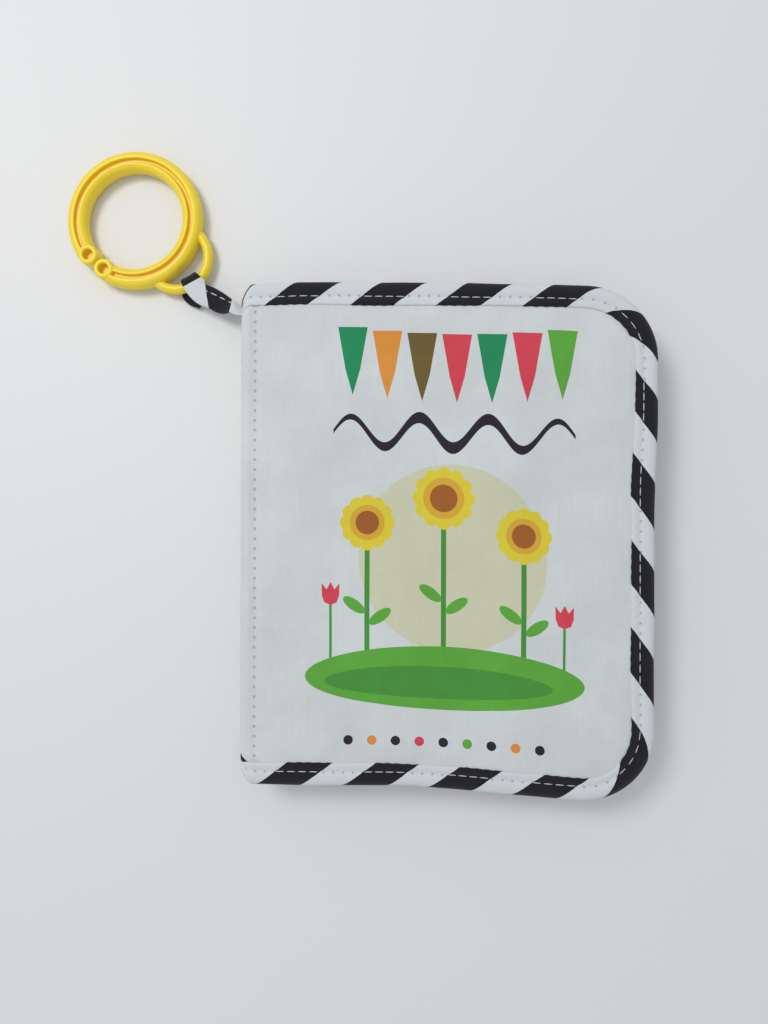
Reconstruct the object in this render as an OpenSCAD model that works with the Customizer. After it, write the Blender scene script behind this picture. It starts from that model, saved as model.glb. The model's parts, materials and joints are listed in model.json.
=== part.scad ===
// Soft cloth photo book with padded covers, striped edge binding and a link ring on a cloth tie.
// Origin: centre of the back cover's underside. +X runs to the fore edge, +Y to the head, +Z up.
// The book is stored closed and lying on its back cover, with the ring flat beside it.

/* [Covers] */
// Width of the book, spine fold to fore edge
cover_w = 146; // [120:1:180]
// Height of the book, head to tail
cover_h = 178; // [160:1:220]
// Thickness of a padded cover
cover_t = 3.2; // [2.8:0.1:5]
// Thickness of everything between the two covers
inner_t = 13.6; // [10:0.2:22]
// Outer radius of the two rounded corners at the fore edge
corner_r = 25; // [16:0.5:30]

/* [Edge binding] */
// Width of binding that shows on each face of a cover
binding_w = 8; // [6:0.5:11]
// Thickness of the binding's cloth
tape_t = 0.5; // [0.3:0.05:0.8]
// One dark and one light stripe together, along the binding's inner edge
stripe_pitch = 29.85; // [24:0.05:40]
// Length of a dark stripe along the binding's inner edge
dark_len = 15.3; // [10:0.1:20]
// Where the first dark stripe starts, from the hinge line
stripe_start = 2.1; // [1:0.1:6]
// How far a stripe leans forward for each millimetre outward
stripe_lean = 1.4; // [0:0.1:1.8]

/* [Spine] */
// Width of the sewn strip along the spine
spine_w = 6; // [5:0.5:10]
// Radius of the fold along the spine's two long edges
fold_r = 3.6; // [1:0.1:4]
// Radius of the spine's ends, seen from above
spine_end_r = 5.5; // [2:0.1:5.8]
// Running gap between a cover and what it closes on
running_gap = 0.3; // [0.2:0.05:0.6]

/* [Pages] */
// Number of cloth leaves
leaf_count = 6; // [3:1:9]
// Gap between two leaves at their open edges
leaf_gap = 0.3; // [0.2:0.05:0.5]
// How far the leaves stop short of the covers' fore edge
fore_margin = 6; // [3:0.5:12]
// How far the leaves stop short of the covers at head and tail
end_margin = 5; // [3:0.5:12]
// Thickness of the clear pocket film
film_t = 0.25; // [0.15:0.05:0.4]
// Border of cloth left round the clear pocket
film_border = 5; // [3:0.5:10]

/* [Link ring] */
// Outer radius of the ring
ring_r = 25.7; // [25:0.1:30]
// Radius of the ring's bore
ring_bore_r = 18.55; // [15:0.05:19]
// Height of the ring
ring_t = 7.2; // [6:0.1:9]
// Rounding of the ring's rims
rim_r = 2.2; // [1:0.1:2.6]
// Radius of the groove on the ring's upper face
groove_r = 21.9; // [21:0.1:22.8]
// Width of that groove
groove_w = 1.5; // [0.8:0.1:2]
// Depth of that groove
groove_d = 1; // [0.4:0.1:1.2]
// Outer radius of the two round ends that close the ring
end_r = 3.25; // [2.6:0.05:3.3]
// Radius of the dimple in each round end
end_hole_r = 1.7; // [1:0.1:2]
// Depth of that dimple
end_hole_d = 3; // [1:0.1:4]
// Direction of the split, seen from the ring's centre
split_angle = 228; // [215:1:235]
// Angle between the two round ends
split_span = 23; // [22.5:0.1:28]

/* [Eye and tie] */
// Centreline radius of the eye that carries the ring
eye_r = 12.3; // [11.5:0.1:15]
// Radius of the eye's bar
bar_r = 1.9; // [1.5:0.1:2.2]
// Distance from the eye's centre to the ring's centre
ring_offset = 21.36; // [20:0.02:23]
// Direction of the ring's centre, seen from the eye's centre
ring_dir = 138.5; // [120:0.5:150]
// Eye's centre, outward from the spine fold
eye_out = 27.7; // [26:0.1:36]
// Eye's centre, upward from the book's head
eye_up = 14.6; // [13:0.1:20]
// Direction in which the tie leaves the eye
tie_dir = -52; // [-60:1:-40]
// Width of the tie's tape
tie_w = 9; // [6:0.5:10]
// Thickness of the tie, two layers of tape
tie_t = 1.4; // [1:0.1:2]
// Clearance between the tape's loop and the bar
loop_gap = 0.35; // [0.3:0.05:0.6]
// Where the tie enters the spine, downward from the book's head
tie_drop = 8.5; // [7:0.5:14]

/* [Printed cover] */
// Thickness of the printed fields
ink_t = 0.15; // [0.1:0.05:0.3]
// Width of one pennant
pennant_w = 10.4; // [6:0.1:11]
// Height of a pennant
pennant_h = 24; // [14:0.5:26]
// Number of pennants in the row
pennant_count = 7; // [3:1:7]
// Distance between two pennants
pennant_pitch = 12.1; // [11.4:0.1:14]
// Amplitude of the wavy band
wave_a = 5.2; // [2:0.1:6]
// Thickness of the wavy band
wave_t = 4.2; // [2:0.1:5]
// Radius of the pale sun disc
disc_r = 33; // [24:0.5:35]
// Half the width of the meadow
meadow_half_w = 49; // [36:0.5:50]
// Petals on one flower
petal_count = 12; // [8:1:16]

/* [Hidden] */
$fn = 48;

PAPER_WHITE = "#CBD2D4";
STRIPE_BLACK = "#181822";
RING_YELLOW = "#F0D432";

// Overlap used where one shape has to cut right through another
cut = 1;
// Overlap of two shapes that are one solid
join = 0.1;
book_t = 2 * cover_t + inner_t;
x_fold = -cover_w / 2;
x_fore = cover_w / 2;
x_hinge = x_fold + spine_w;
x_cover = x_hinge + running_gap / 2;
x_spine_in = x_hinge - running_gap / 2;
y_head = cover_h / 2;
front_z = book_t - cover_t;
slot_t = cover_t - 2 * tape_t;
inner_corner_r = corner_r - binding_w;
pages_t = inner_t - 2 * running_gap - 2 * film_t;
pages_z = (book_t - pages_t) / 2;
leaf_t = (pages_t - (leaf_count - 1) * leaf_gap) / leaf_count;
spine_wall = spine_w / 2;

// Plan of a cover: square at the hinge, round at the fore edge, drawn in by inset on three sides
module cover_plan(inset) {
  r = corner_r - inset;
  half_h = y_head - inset;
  difference() {
    translate([x_cover, -half_h]) square([x_fore - inset - x_cover, 2 * half_h]);
    for (side = [-1, 1]) {
      difference() {
        translate([x_fore - inset - r, side > 0 ? half_h - r : -half_h - cut]) square([r + cut, r + cut]);
        translate([x_fore - inset - r, side * (half_h - r)]) circle(r, $fn = 96);
      }
    }
  }
}

// A padded cover, one solid: full thickness inside the binding, thinner in the binding's slot
module padded_cover(z) {
  translate([0, 0, z]) linear_extrude(cover_t) cover_plan(binding_w);
  translate([0, 0, z + tape_t]) linear_extrude(slot_t) cover_plan(tape_t);
}

module front_cover() {
  color(PAPER_WHITE) padded_cover(front_z);
}

module back_cover() {
  color(PAPER_WHITE) padded_cover(0);
}

// Binding tape folded round a cover's three free edges, a U in section
module binding_wrap(z) {
  difference() {
    translate([0, 0, z]) linear_extrude(cover_t) cover_plan(0);
    translate([0, 0, z + tape_t]) linear_extrude(slot_t) cover_plan(tape_t);
    translate([0, 0, z - cut]) linear_extrude(cover_t + 2 * cut) cover_plan(binding_w);
  }
}

// Lengths of the straights and of a corner, along the binding's inner edge
head_len = x_fore - corner_r - x_cover;
fore_len = cover_h - 2 * corner_r;
bend_len = PI / 2 * inner_corner_r;
path_len = 2 * head_len + 2 * bend_len + fore_len;
stripe_count = floor((path_len - stripe_start - dark_len) / stripe_pitch) + 1;

// Point at distance s along the inner edge, from the hinge at the head round to the tail,
// and w outward from that edge
function edge_point(s, w) =
  s < head_len ? [x_cover + s, y_head - binding_w + w] :
  s < head_len + bend_len ? corner_point(s - head_len, w) :
  s < head_len + bend_len + fore_len / 2 ?
    [x_fore - binding_w + w, y_head - corner_r - (s - head_len - bend_len)] :
  mirror_y(edge_point(path_len - s, w));
function corner_point(s, w) =
  let (a = 90 - 90 * s / bend_len, r = inner_corner_r + w)
  [x_fore - corner_r + r * cos(a), y_head - corner_r + r * sin(a)];
function mirror_y(p) = [p[0], -p[1]];

// One side of a leaning stripe, in steps across the binding so that it follows a corner
function stripe_side(s, steps) =
  [for (i = [0:steps]) let (w = -cut + i * (binding_w + 2 * cut) / steps)
    edge_point(s + stripe_lean * w, w)];
function reversed(list) = [for (i = [len(list) - 1:-1:0]) list[i]];

module stripe_plan(s) {
  steps = 6;
  along = 5;
  far = stripe_lean * (binding_w + cut);
  near = -stripe_lean * cut;
  polygon(concat(
    stripe_side(s, steps),
    [for (i = [1:along - 1]) edge_point(s + far + dark_len * i / along, binding_w + cut)],
    reversed(stripe_side(s + dark_len, steps)),
    [for (i = [along - 1:-1:1]) edge_point(s + near + dark_len * i / along, -cut)]
  ));
}

// All the dark stripes as upright prisms through the binding
module stripe_prisms(z) {
  translate([0, 0, z - cut]) linear_extrude(cover_t + 2 * cut)
    for (i = [0:stripe_count - 1]) stripe_plan(stripe_start + i * stripe_pitch);
}

module front_binding() {
  color(PAPER_WHITE) difference() {
    binding_wrap(front_z);
    stripe_prisms(front_z);
  }
}

module front_binding_stripes() {
  color(STRIPE_BLACK) intersection() {
    binding_wrap(front_z);
    stripe_prisms(front_z);
  }
}

module back_binding() {
  color(PAPER_WHITE) difference() {
    binding_wrap(0);
    stripe_prisms(0);
  }
}

module back_binding_stripes() {
  color(STRIPE_BLACK) intersection() {
    binding_wrap(0);
    stripe_prisms(0);
  }
}

// Section of the spine, a fold of cover cloth round the sewn edges of the leaves
module spine_section(inset) {
  r = max(fold_r - inset, 0.2);
  x0 = x_fold + inset;
  difference() {
    union() {
      translate([x0 + r, inset]) square([x_spine_in - x0 - r, book_t - 2 * inset]);
      translate([x0, inset + r]) square([r + join, book_t - 2 * inset - 2 * r]);
      for (z = [inset + r, book_t - inset - r]) translate([x0 + r, z]) circle(r);
    }
    translate([x_fold + spine_wall, pages_z]) square([spine_w, pages_t]);
  }
}

// Plan of the spine, rounded where the binding turns its ends
module spine_plan(inset) {
  r = spine_end_r - inset;
  x0 = x_fold + inset;
  half_h = y_head - inset;
  intersection() {
    translate([x0, -half_h]) square([x_spine_in - x0, 2 * half_h]);
    union() {
      translate([x0, -half_h + r]) square([spine_w, 2 * half_h - 2 * r]);
      translate([x0 + r, -half_h]) square([spine_w, 2 * half_h]);
      for (side = [-1, 1]) translate([x0 + r, side * (half_h - r)]) circle(r);
    }
  }
}

module spine_form(inset) {
  intersection() {
    translate([0, y_head + cut, 0]) rotate([90, 0, 0])
      linear_extrude(cover_h + 2 * cut) spine_section(inset);
    translate([0, 0, -cut]) linear_extrude(book_t + 2 * cut) spine_plan(inset);
  }
}

module slab_y(y0, y1) {
  translate([x_fold - cut, y0, -cut]) cube([spine_w + 2 * cut, y1 - y0, book_t + 2 * cut]);
}

// The spine is thinner at its two ends, where the binding folds over it
module spine() {
  color(PAPER_WHITE) union() {
    intersection() {
      spine_form(0);
      slab_y(-y_head + binding_w, y_head - binding_w);
    }
    spine_form(tape_t);
  }
}

module spine_end_binding(y0, y1) {
  color(PAPER_WHITE) difference() {
    intersection() {
      spine_form(0);
      slab_y(y0, y1);
    }
    spine_form(tape_t);
  }
}

module spine_head_binding() {
  spine_end_binding(y_head - binding_w, y_head + cut);
}

module spine_tail_binding() {
  spine_end_binding(-y_head - cut, -y_head + binding_w);
}

// Plan of a leaf, rounded at the fore edge in line with the cover's corner
module leaf_plan(x0, border) {
  x1 = x_fore - fore_margin - border;
  half_h = y_head - end_margin - border;
  r = corner_r - max(fore_margin, end_margin) - border;
  translate([x0, -half_h]) square([x1 - x0 - r, 2 * half_h]);
  translate([x0, -half_h + r]) square([x1 - x0, 2 * half_h - 2 * r]);
  for (side = [-1, 1]) translate([x1 - r, side * (half_h - r)]) circle(r);
}

// The leaves are one solid, joined where they are sewn and apart at their open edges
module pages() {
  color("#D6DADB") difference() {
    translate([0, 0, pages_z]) linear_extrude(pages_t) leaf_plan(x_fold + spine_wall, 0);
    for (i = [1:leaf_count - 1])
      translate([x_hinge + 2, -y_head, pages_z + i * (leaf_t + leaf_gap) - leaf_gap])
        cube([cover_w, cover_h, leaf_gap]);
  }
}

module pocket(z) {
  color("#E4EAEC") translate([0, 0, z]) linear_extrude(film_t) leaf_plan(x_hinge + film_border, film_border);
}

module first_page_pocket() {
  pocket(pages_z + pages_t);
}

module last_page_pocket() {
  pocket(pages_z - film_t);
}

// The eye's centre, where the ring swivels, and the ring's own centre
eye_c = [x_fold - eye_out, y_head + eye_up];
ring_c = eye_c + ring_offset * [cos(ring_dir), sin(ring_dir)];
ring_mid_z = ring_t / 2;
ring_mid_r = (ring_r + ring_bore_r) / 2;
rim_steps = 3;
end_rise = 0.3;

// Points of a rim's rounding, from angle a0 on, round a centre
function rim(c, a0) =
  [for (k = [0:rim_steps]) let (a = a0 + 90 * k / rim_steps) c + rim_r * [cos(a), sin(a)]];

// Section of the ring, rounded at its four rims, with the groove in its upper face
module ring_section() {
  x0 = ring_bore_r + rim_r;
  x1 = ring_r - rim_r;
  z1 = ring_t - rim_r;
  g0 = groove_r - groove_w / 2;
  g1 = groove_r + groove_w / 2;
  polygon(concat(
    rim([x0, rim_r], 180),
    rim([x1, rim_r], 270),
    rim([x1, z1], 0),
    [[g1, ring_t], [g1, ring_t - groove_d], [g0, ring_t - groove_d], [g0, ring_t]],
    rim([x0, z1], 90)
  ));
}

// Where the eye's bar sinks into the ring: half the angle, seen from the eye, that the bar spans
bar_end = acos((pow(eye_r, 2) + pow(ring_offset, 2) - pow(ring_mid_r + 1.2, 2)) / (2 * eye_r * ring_offset));

// A shape placed at one of the two round ends
module at_end(side, z) {
  rotate([0, 0, split_angle + side * split_span / 2]) translate([ring_mid_r, 0, z]) children();
}

// Ring, bar and round ends are one moulding, split between the two round ends
module link_ring() {
  color(RING_YELLOW) {
    translate([ring_c[0], ring_c[1], 0]) difference() {
      union() {
        rotate([0, 0, split_angle + split_span / 2])
          rotate_extrude(angle = 360 - split_span, $fn = 128) ring_section();
        for (side = [-1, 1]) at_end(side, 0) cylinder(r = end_r, h = ring_t + end_rise);
      }
      for (side = [-1, 1]) at_end(side, ring_t + end_rise - end_hole_d)
        cylinder(r = end_hole_r, h = end_hole_d + cut);
    }
    translate([eye_c[0], eye_c[1], ring_mid_z]) rotate([0, 0, ring_dir + bar_end])
      rotate_extrude(angle = 360 - 2 * bar_end, $fn = 96) translate([eye_r, 0]) circle(bar_r, $fn = 32);
  }
}

// Tie: a loop of tape round the eye's bar, then a twisted strap to the spine
loop_r = bar_r + loop_gap;
loop_half_angle = atan(tie_w / 2 / eye_r);
strap_from = eye_r + loop_r + tie_t / 2;
tie_root = [x_fold, y_head - tie_drop];
strap_start = eye_c + strap_from * [cos(tie_dir), sin(tie_dir)];
strap_way = tie_root - strap_start;
slice_t = 0.4;
// How far the strap has risen, turned and twisted where its colour changes, and at the spine
change_at = [0.34, 0.72];
change_rise = [1.2, 3.6];
change_turn = [tie_dir * 0.5, tie_dir * 0.45];
change_twist = [-8, 20];
change_w = [tie_w, tie_w * 0.9];
root_rise = 6;
root_twist = 62;
root_w = tie_w * 0.7;

// One thin slice of the strap, just past its place (side 1) or just short of it (side -1)
module strap_slice(p, z, turn, twist, w, side) {
  translate([p[0], p[1], z]) rotate([0, 0, turn]) rotate([twist, 0, 0])
    translate([side * slice_t / 2, 0, 0]) cube([slice_t, w, tie_t], center = true);
}

module slice_at_loop() {
  strap_slice(strap_start, ring_mid_z, tie_dir, 0, tie_w, 1);
}
module slice_at_change(i, side) {
  strap_slice(strap_start + change_at[i] * strap_way, ring_mid_z + change_rise[i],
    change_turn[i], change_twist[i], change_w[i], side);
}
module slice_at_root() {
  strap_slice(tie_root, ring_mid_z + root_rise, 0, root_twist, root_w, -1);
}

module tie_tape() {
  color(PAPER_WHITE) {
    hull() {
      slice_at_loop();
      slice_at_change(0, -1);
    }
    hull() {
      slice_at_change(1, 1);
      slice_at_root();
    }
  }
}

module tie_stripes() {
  color(STRIPE_BLACK) {
    translate([eye_c[0], eye_c[1], ring_mid_z]) rotate([0, 0, tie_dir - loop_half_angle])
      rotate_extrude(angle = 2 * loop_half_angle, $fn = 96) translate([eye_r, 0]) difference() {
        circle(loop_r + tie_t / 2, $fn = 32);
        circle(loop_r, $fn = 32);
      }
    hull() {
      slice_at_change(0, 1);
      slice_at_change(1, -1);
    }
  }
}

// Printed fields lie on the front cover. Each is a plain flat shape of one colour.
ink_z = book_t;
row_x = 4;
row_y = 70.6;
row_sag = 2.2;
wave_c = [3, 36];
wave_half_w = 42;
wave_turns = 3.5;
wave_end_share = 0.35;
disc_c = [3, -8];
meadow_y = -50;
meadow_half_h = 11;
flower_x = [-27, 0, 28];
flower_y = [4, 13, 1];
flower_r = [7.2, 8.4, 7.2];
petal_r = 2.6;
flower_centre_share = 0.58;
stem_w = 1.8;
leaf_len = 4.6;
leaf_share = 0.42;
leaf_drop = 4;
leaf_step = 2;
leaf_turn = 35;
dot_y = -72.5;
dot_r = 1.7;
dot_pitch = 8.4;
dot_count = 9;
tulip_x = [-40, 42];
tulip_y = [-22, -27];
tulip_r = 3.1;
tulip_tip = 4.6;
tulip_point_w = 2.2;
tulip_point_pitch = 2.1;
tulip_foot = 4;
tulip_gap = 0.1;

module ink(shade) {
  color(shade) translate([0, 0, ink_z]) linear_extrude(ink_t) children();
}

module pennant(i) {
  offset = i - (pennant_count - 1) / 2;
  shoulder = pennant_h * 0.62;
  translate([row_x + offset * pennant_pitch, row_y + row_sag * pow(offset / 3, 2)])
    polygon([[-pennant_w / 2, 0], [pennant_w / 2, 0], [pennant_w / 4, -shoulder], [0, -pennant_h],
      [-pennant_w / 4, -shoulder]]);
}

module pennants(list) {
  for (i = list) if (i < pennant_count) pennant(i);
}

// The band's centreline is a sine wave, thick in the middle and tapered at its ends
function wave_point(t, side) =
  let (half_t = wave_t / 2 * (wave_end_share + (1 - wave_end_share) * sin(180 * t)))
  wave_c + [wave_half_w * (2 * t - 1), wave_a * sin(t * 360 * wave_turns) + side * half_t];

module wave_band() {
  steps = 84;
  polygon(concat(
    [for (i = [0:steps]) wave_point(i / steps, 1)],
    [for (i = [steps:-1:0]) wave_point(i / steps, -1)]
  ));
}

module flower_head(i, r) {
  translate([flower_x[i], flower_y[i]]) {
    circle(r);
    for (k = [0:petal_count - 1]) rotate(k * 360 / petal_count) translate([r, 0]) circle(petal_r, $fn = 24);
  }
}

module flower_centre(i) {
  translate([flower_x[i], flower_y[i]]) circle(flower_r[i] * flower_centre_share);
}

module stem(i) {
  translate([flower_x[i] - stem_w / 2, meadow_y]) square([stem_w, flower_y[i] - meadow_y]);
}

module stem_leaves(i) {
  for (side = [-1, 1])
    translate([flower_x[i] + side * leaf_len, (flower_y[i] + meadow_y) / 2 - leaf_drop - side * leaf_step])
      rotate(side * leaf_turn) scale([1, leaf_share]) circle(leaf_len);
}

module meadow_plan() {
  translate([0, meadow_y]) scale([meadow_half_w / meadow_half_h, 1]) circle(meadow_half_h, $fn = 96);
}

module tulip_head(i) {
  translate([tulip_x[i], tulip_y[i]]) {
    circle(tulip_r);
    for (side = [-1, 0, 1]) translate([side * tulip_point_pitch, 0])
      polygon([[-tulip_point_w / 2, 0], [0, tulip_tip], [tulip_point_w / 2, 0]]);
  }
}

module tulip_stem(i) {
  foot = meadow_y + tulip_foot;
  translate([tulip_x[i] - stem_w / 4, foot]) square([stem_w / 2, tulip_y[i] - tulip_r - tulip_gap - foot]);
}

module dots(list) {
  for (i = list) translate([(i - (dot_count - 1) / 2) * dot_pitch, dot_y]) circle(dot_r, $fn = 24);
}

module growing_things() {
  meadow_plan();
  for (i = [0:2]) {
    stem(i);
    stem_leaves(i);
    flower_head(i, flower_r[i]);
  }
  for (i = [0:1]) {
    tulip_head(i);
    tulip_stem(i);
  }
}

module print_emerald() {
  ink("#1F8A58") pennants([0, 4]);
}
module print_orange() {
  ink("#D08C3A") {
    pennants([1]);
    dots([1, 7]);
  }
}
module print_olive() {
  ink("#6E5C30") pennants([2]);
}
module print_red() {
  ink("#D44454") {
    pennants([3, 5]);
    for (i = [0:1]) tulip_head(i);
    dots([3]);
  }
}
module print_dark() {
  ink("#26202E") {
    wave_band();
    dots([0, 2, 4, 6, 8]);
  }
}
module print_cream() {
  ink("#CCCEB2") difference() {
    translate(disc_c) circle(disc_r, $fn = 96);
    growing_things();
  }
}
module print_meadow() {
  ink("#46A03A") {
    difference() {
      union() {
        meadow_plan();
        for (i = [0:2]) {
          stem(i);
          stem_leaves(i);
        }
        for (i = [0:1]) tulip_stem(i);
      }
      for (i = [0:2]) flower_head(i, flower_r[i]);
    }
    pennants([6]);
    dots([5]);
  }
}
module print_yellow() {
  ink("#D6CC38") for (i = [0:2]) difference() {
    flower_head(i, flower_r[i]);
    flower_centre(i);
  }
}
module print_brown() {
  ink("#A06028") for (i = [0:2]) flower_centre(i);
}

front_cover();
back_cover();
front_binding();
front_binding_stripes();
back_binding();
back_binding_stripes();
spine();
spine_head_binding();
spine_tail_binding();
pages();
first_page_pocket();
last_page_pocket();
tie_tape();
tie_stripes();
link_ring();
print_emerald();
print_orange();
print_olive();
print_red();
print_dark();
print_cream();
print_meadow();
print_yellow();
print_brown();
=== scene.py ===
# %% [markdown]
# # A soft cloth photo book
# The object is a small padded cloth book, closed and lying on a pale table. Its covers are edged
# with a black and white bias binding, and a cloth tie at the head of the spine holds a yellow
# plastic link ring. The CAD model is the frame: it says where each piece lies and what moves.
# This file dresses that frame. Each piece is built in millimetres and stored in metres.

import json
import math

import bmesh
import bpy
import numpy as np
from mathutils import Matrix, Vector
from mathutils.geometry import delaunay_2d_cdt


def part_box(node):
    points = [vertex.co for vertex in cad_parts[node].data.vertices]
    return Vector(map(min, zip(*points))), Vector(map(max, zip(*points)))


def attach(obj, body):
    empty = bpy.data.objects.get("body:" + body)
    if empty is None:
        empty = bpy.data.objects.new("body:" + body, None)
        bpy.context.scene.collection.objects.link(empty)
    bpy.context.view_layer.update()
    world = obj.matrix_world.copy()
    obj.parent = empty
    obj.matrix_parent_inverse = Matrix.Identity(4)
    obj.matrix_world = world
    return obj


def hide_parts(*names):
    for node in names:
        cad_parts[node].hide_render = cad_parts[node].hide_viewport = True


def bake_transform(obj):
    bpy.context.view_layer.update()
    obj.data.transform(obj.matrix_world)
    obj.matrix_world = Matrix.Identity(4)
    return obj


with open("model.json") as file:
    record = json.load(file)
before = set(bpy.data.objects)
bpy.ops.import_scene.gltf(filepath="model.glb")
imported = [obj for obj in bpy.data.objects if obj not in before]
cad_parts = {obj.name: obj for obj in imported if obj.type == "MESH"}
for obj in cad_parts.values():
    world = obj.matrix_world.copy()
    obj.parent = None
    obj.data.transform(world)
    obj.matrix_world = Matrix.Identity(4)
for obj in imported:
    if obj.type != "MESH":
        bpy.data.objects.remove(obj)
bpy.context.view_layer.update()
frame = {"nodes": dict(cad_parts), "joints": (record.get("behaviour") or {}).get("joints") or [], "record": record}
MM = 0.001

# %% [markdown]
# ## Sizes from the frame
# The cover, the binding and the spine are read from the boxes of the CAD nodes, so that a change
# of the CAD model carries over to the cloth. What a box can't tell, such as the radius of a
# corner, is named here.

# %% Driving sizes in millimetres


def box_mm(node):
    low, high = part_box(node)
    return np.array(low) / MM, np.array(high) / MM


def joint_mm(name):
    joint = next(j for j in frame["joints"] if j["name"] == name)
    return np.array(joint["pos_m"]) / MM


_, binding_high = box_mm("front_binding")
panel_low, panel_high = box_mm("front_cover")
spine_low, spine_high = box_mm("spine")
pages_low, pages_high = box_mm("pages")
ring_low, ring_high = box_mm("link_ring")
film_low, film_high = box_mm("first_page_pocket")
ring_bore = next(m for m in frame["record"]["mounts"] if m["name"] == "ring_bore")

X_FORE = binding_high[0]
X_FOLD = spine_low[0]
Y_HEAD = binding_high[1]
COVER_T = panel_high[2] - panel_low[2]
BOOK_T = spine_high[2]
X_HINGE = joint_mm("front_cover_hinge")[0]
CORNER_R = 25.0
BINDING_W = 8.0
FOLD_R = 4.0
STITCH_PITCH = 3.5
COVER_SKEW = 0.024
print(f"cover {X_FORE - X_FOLD:.0f} x {2 * Y_HEAD:.0f} mm, {BOOK_T:.0f} mm thick")

# %% [markdown]
# ## Small helpers
# A mesh is made from arrays of points and faces. Colours are written as sRGB hex values, the way
# a paint program shows them, and one function turns them into the linear values that light needs.

# %% Mesh and colour helpers


def linked_object(name, data):
    obj = bpy.data.objects.new(name, data)
    bpy.context.scene.collection.objects.link(obj)
    return obj


def applied_mesh(obj):
    """The object's mesh as its modifiers leave it."""
    return bpy.data.meshes.new_from_object(obj.evaluated_get(bpy.context.evaluated_depsgraph_get()))


def mesh_object(name, points_mm, faces, smooth=True):
    mesh = bpy.data.meshes.new(name)
    mesh.from_pydata([tuple(p) for p in np.asarray(points_mm) * MM], [], faces)
    mesh.validate()
    mesh.update()
    if smooth:
        mesh.shade_smooth()
    return linked_object(name, mesh)


def face_outwards(obj):
    bm = bmesh.new()
    bm.from_mesh(obj.data)
    bmesh.ops.remove_doubles(bm, verts=bm.verts, dist=0.00001)
    bmesh.ops.recalc_face_normals(bm, faces=bm.faces)
    bm.to_mesh(obj.data)
    bm.free()


def linear(hex_colour):
    channels = [int(hex_colour[i:i + 2], 16) / 255 for i in (1, 3, 5)]
    return [c / 12.92 if c <= 0.04045 else ((c + 0.055) / 1.055) ** 2.4 for c in channels] + [1.0]


def smoothstep(t):
    t = np.clip(t, 0.0, 1.0)
    return t * t * (3 - 2 * t)


# %% [markdown]
# ## Materials
# Everything here is cloth, apart from the ring and the clear film. Cloth is rough, shows its
# threads as a fine bump and has a little sheen. One helper adds a node with its settings and
# links, and every material is built with it.

# %% Node helper


def add_node(tree, kind, settings=None, **inputs):
    node = tree.nodes.new(kind)
    for name, value in (settings or {}).items():
        setattr(node, name, value)
    for name, value in inputs.items():
        key = int(name[1:]) if name[0] == "i" and name[1:].isdigit() else name.replace("_", " ")
        if isinstance(value, bpy.types.NodeSocket):
            tree.links.new(value, node.inputs[key])
        else:
            node.inputs[key].default_value = value
    return node


def maths(tree, operation, *values):
    inputs = {f"i{k}": value for k, value in enumerate(values)}
    return add_node(tree, "ShaderNodeMath", {"operation": operation}, **inputs).outputs[0]


def object_coords(tree):
    return add_node(tree, "ShaderNodeTexCoord").outputs["Object"]


def axis_values(tree, vector):
    return add_node(tree, "ShaderNodeSeparateXYZ", i0=vector).outputs


def remapped(tree, value, low, high, to_low, to_high):
    return add_node(tree, "ShaderNodeMapRange", Value=value, From_Min=low, From_Max=high,
                    To_Min=to_low, To_Max=to_high).outputs[0]


def mixed(tree, share, one, other):
    """From the first colour at 0 to the second at 1."""
    return add_node(tree, "ShaderNodeMix", {"data_type": "RGBA"}, i0=share, i6=one, i7=other).outputs[2]


def shaded(tree, colour, factor):
    return add_node(tree, "ShaderNodeMix", {"data_type": "RGBA", "blend_type": "MULTIPLY"},
                    i0=1.0, i6=colour, i7=factor).outputs[2]


def dented(tree, height, strength, distance):
    return add_node(tree, "ShaderNodeBump", Strength=strength, Distance=distance, Height=height).outputs[0]


def new_material(name):
    material = bpy.data.materials.new(name)
    material.use_nodes = True
    material.node_tree.nodes.clear()
    return material, material.node_tree


def finish_material(tree, **inputs):
    shader = add_node(tree, "ShaderNodeBsdfPrincipled", **inputs)
    add_node(tree, "ShaderNodeOutputMaterial", Surface=shader.outputs["BSDF"])


# %% [markdown]
# ### Woven cloth
# Plain weave is two sets of threads that cross. They lie about 0.3 mm apart, finer than one
# pixel of the render, so what shows is the unevenness of the yarn: fine streaks along each set.
# Two noises, each stretched along its own threads, give them, and a slow third one mottles the
# colour a little. A seam shows as a row of needle holes, one at each stitch, drawn as dots of painted shade.

# %% Woven cloth
HINGE_SEAM_X = X_HINGE - 0.2
HINGE_HOLE_R = 0.5
# Depth of the painted shade in a needle hole, as a factor on the cloth's colour
HOLE_SHADE = 0.62


def yarn_noise(tree, coords, stretch):
    mapping = add_node(tree, "ShaderNodeMapping", Vector=coords, Scale=stretch)
    noise = add_node(tree, "ShaderNodeTexNoise", {"noise_dimensions": "3D"},
                     Vector=mapping.outputs[0], Scale=1.0, Detail=3.0, Roughness=0.6)
    return noise.outputs["Fac"]


def thread_height(tree, coords, fine, slow):
    """Streaks of the warp with weaker ones of the weft. The two numbers are turns for each unit."""
    warp = yarn_noise(tree, coords, (fine, slow, fine))
    weft = yarn_noise(tree, coords, (slow, fine, slow))
    return maths(tree, "MULTIPLY_ADD", weft, 0.6, warp)


def needle_hole_painted_shade(tree, along, off_seam, pitch, radius):
    """A factor of 1 on plain cloth that falls to painted shade in a small round hole at each stitch of a seam."""
    off = maths(tree, "SUBTRACT", maths(tree, "FLOORED_MODULO", along, pitch), pitch / 2)
    place = add_node(tree, "ShaderNodeCombineXYZ", X=off, Y=off_seam)
    far = add_node(tree, "ShaderNodeVectorMath", {"operation": "LENGTH"}, i0=place.outputs[0])
    return remapped(tree, far.outputs["Value"], radius * 0.5, radius * 1.6, HOLE_SHADE, 1.0)


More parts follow.
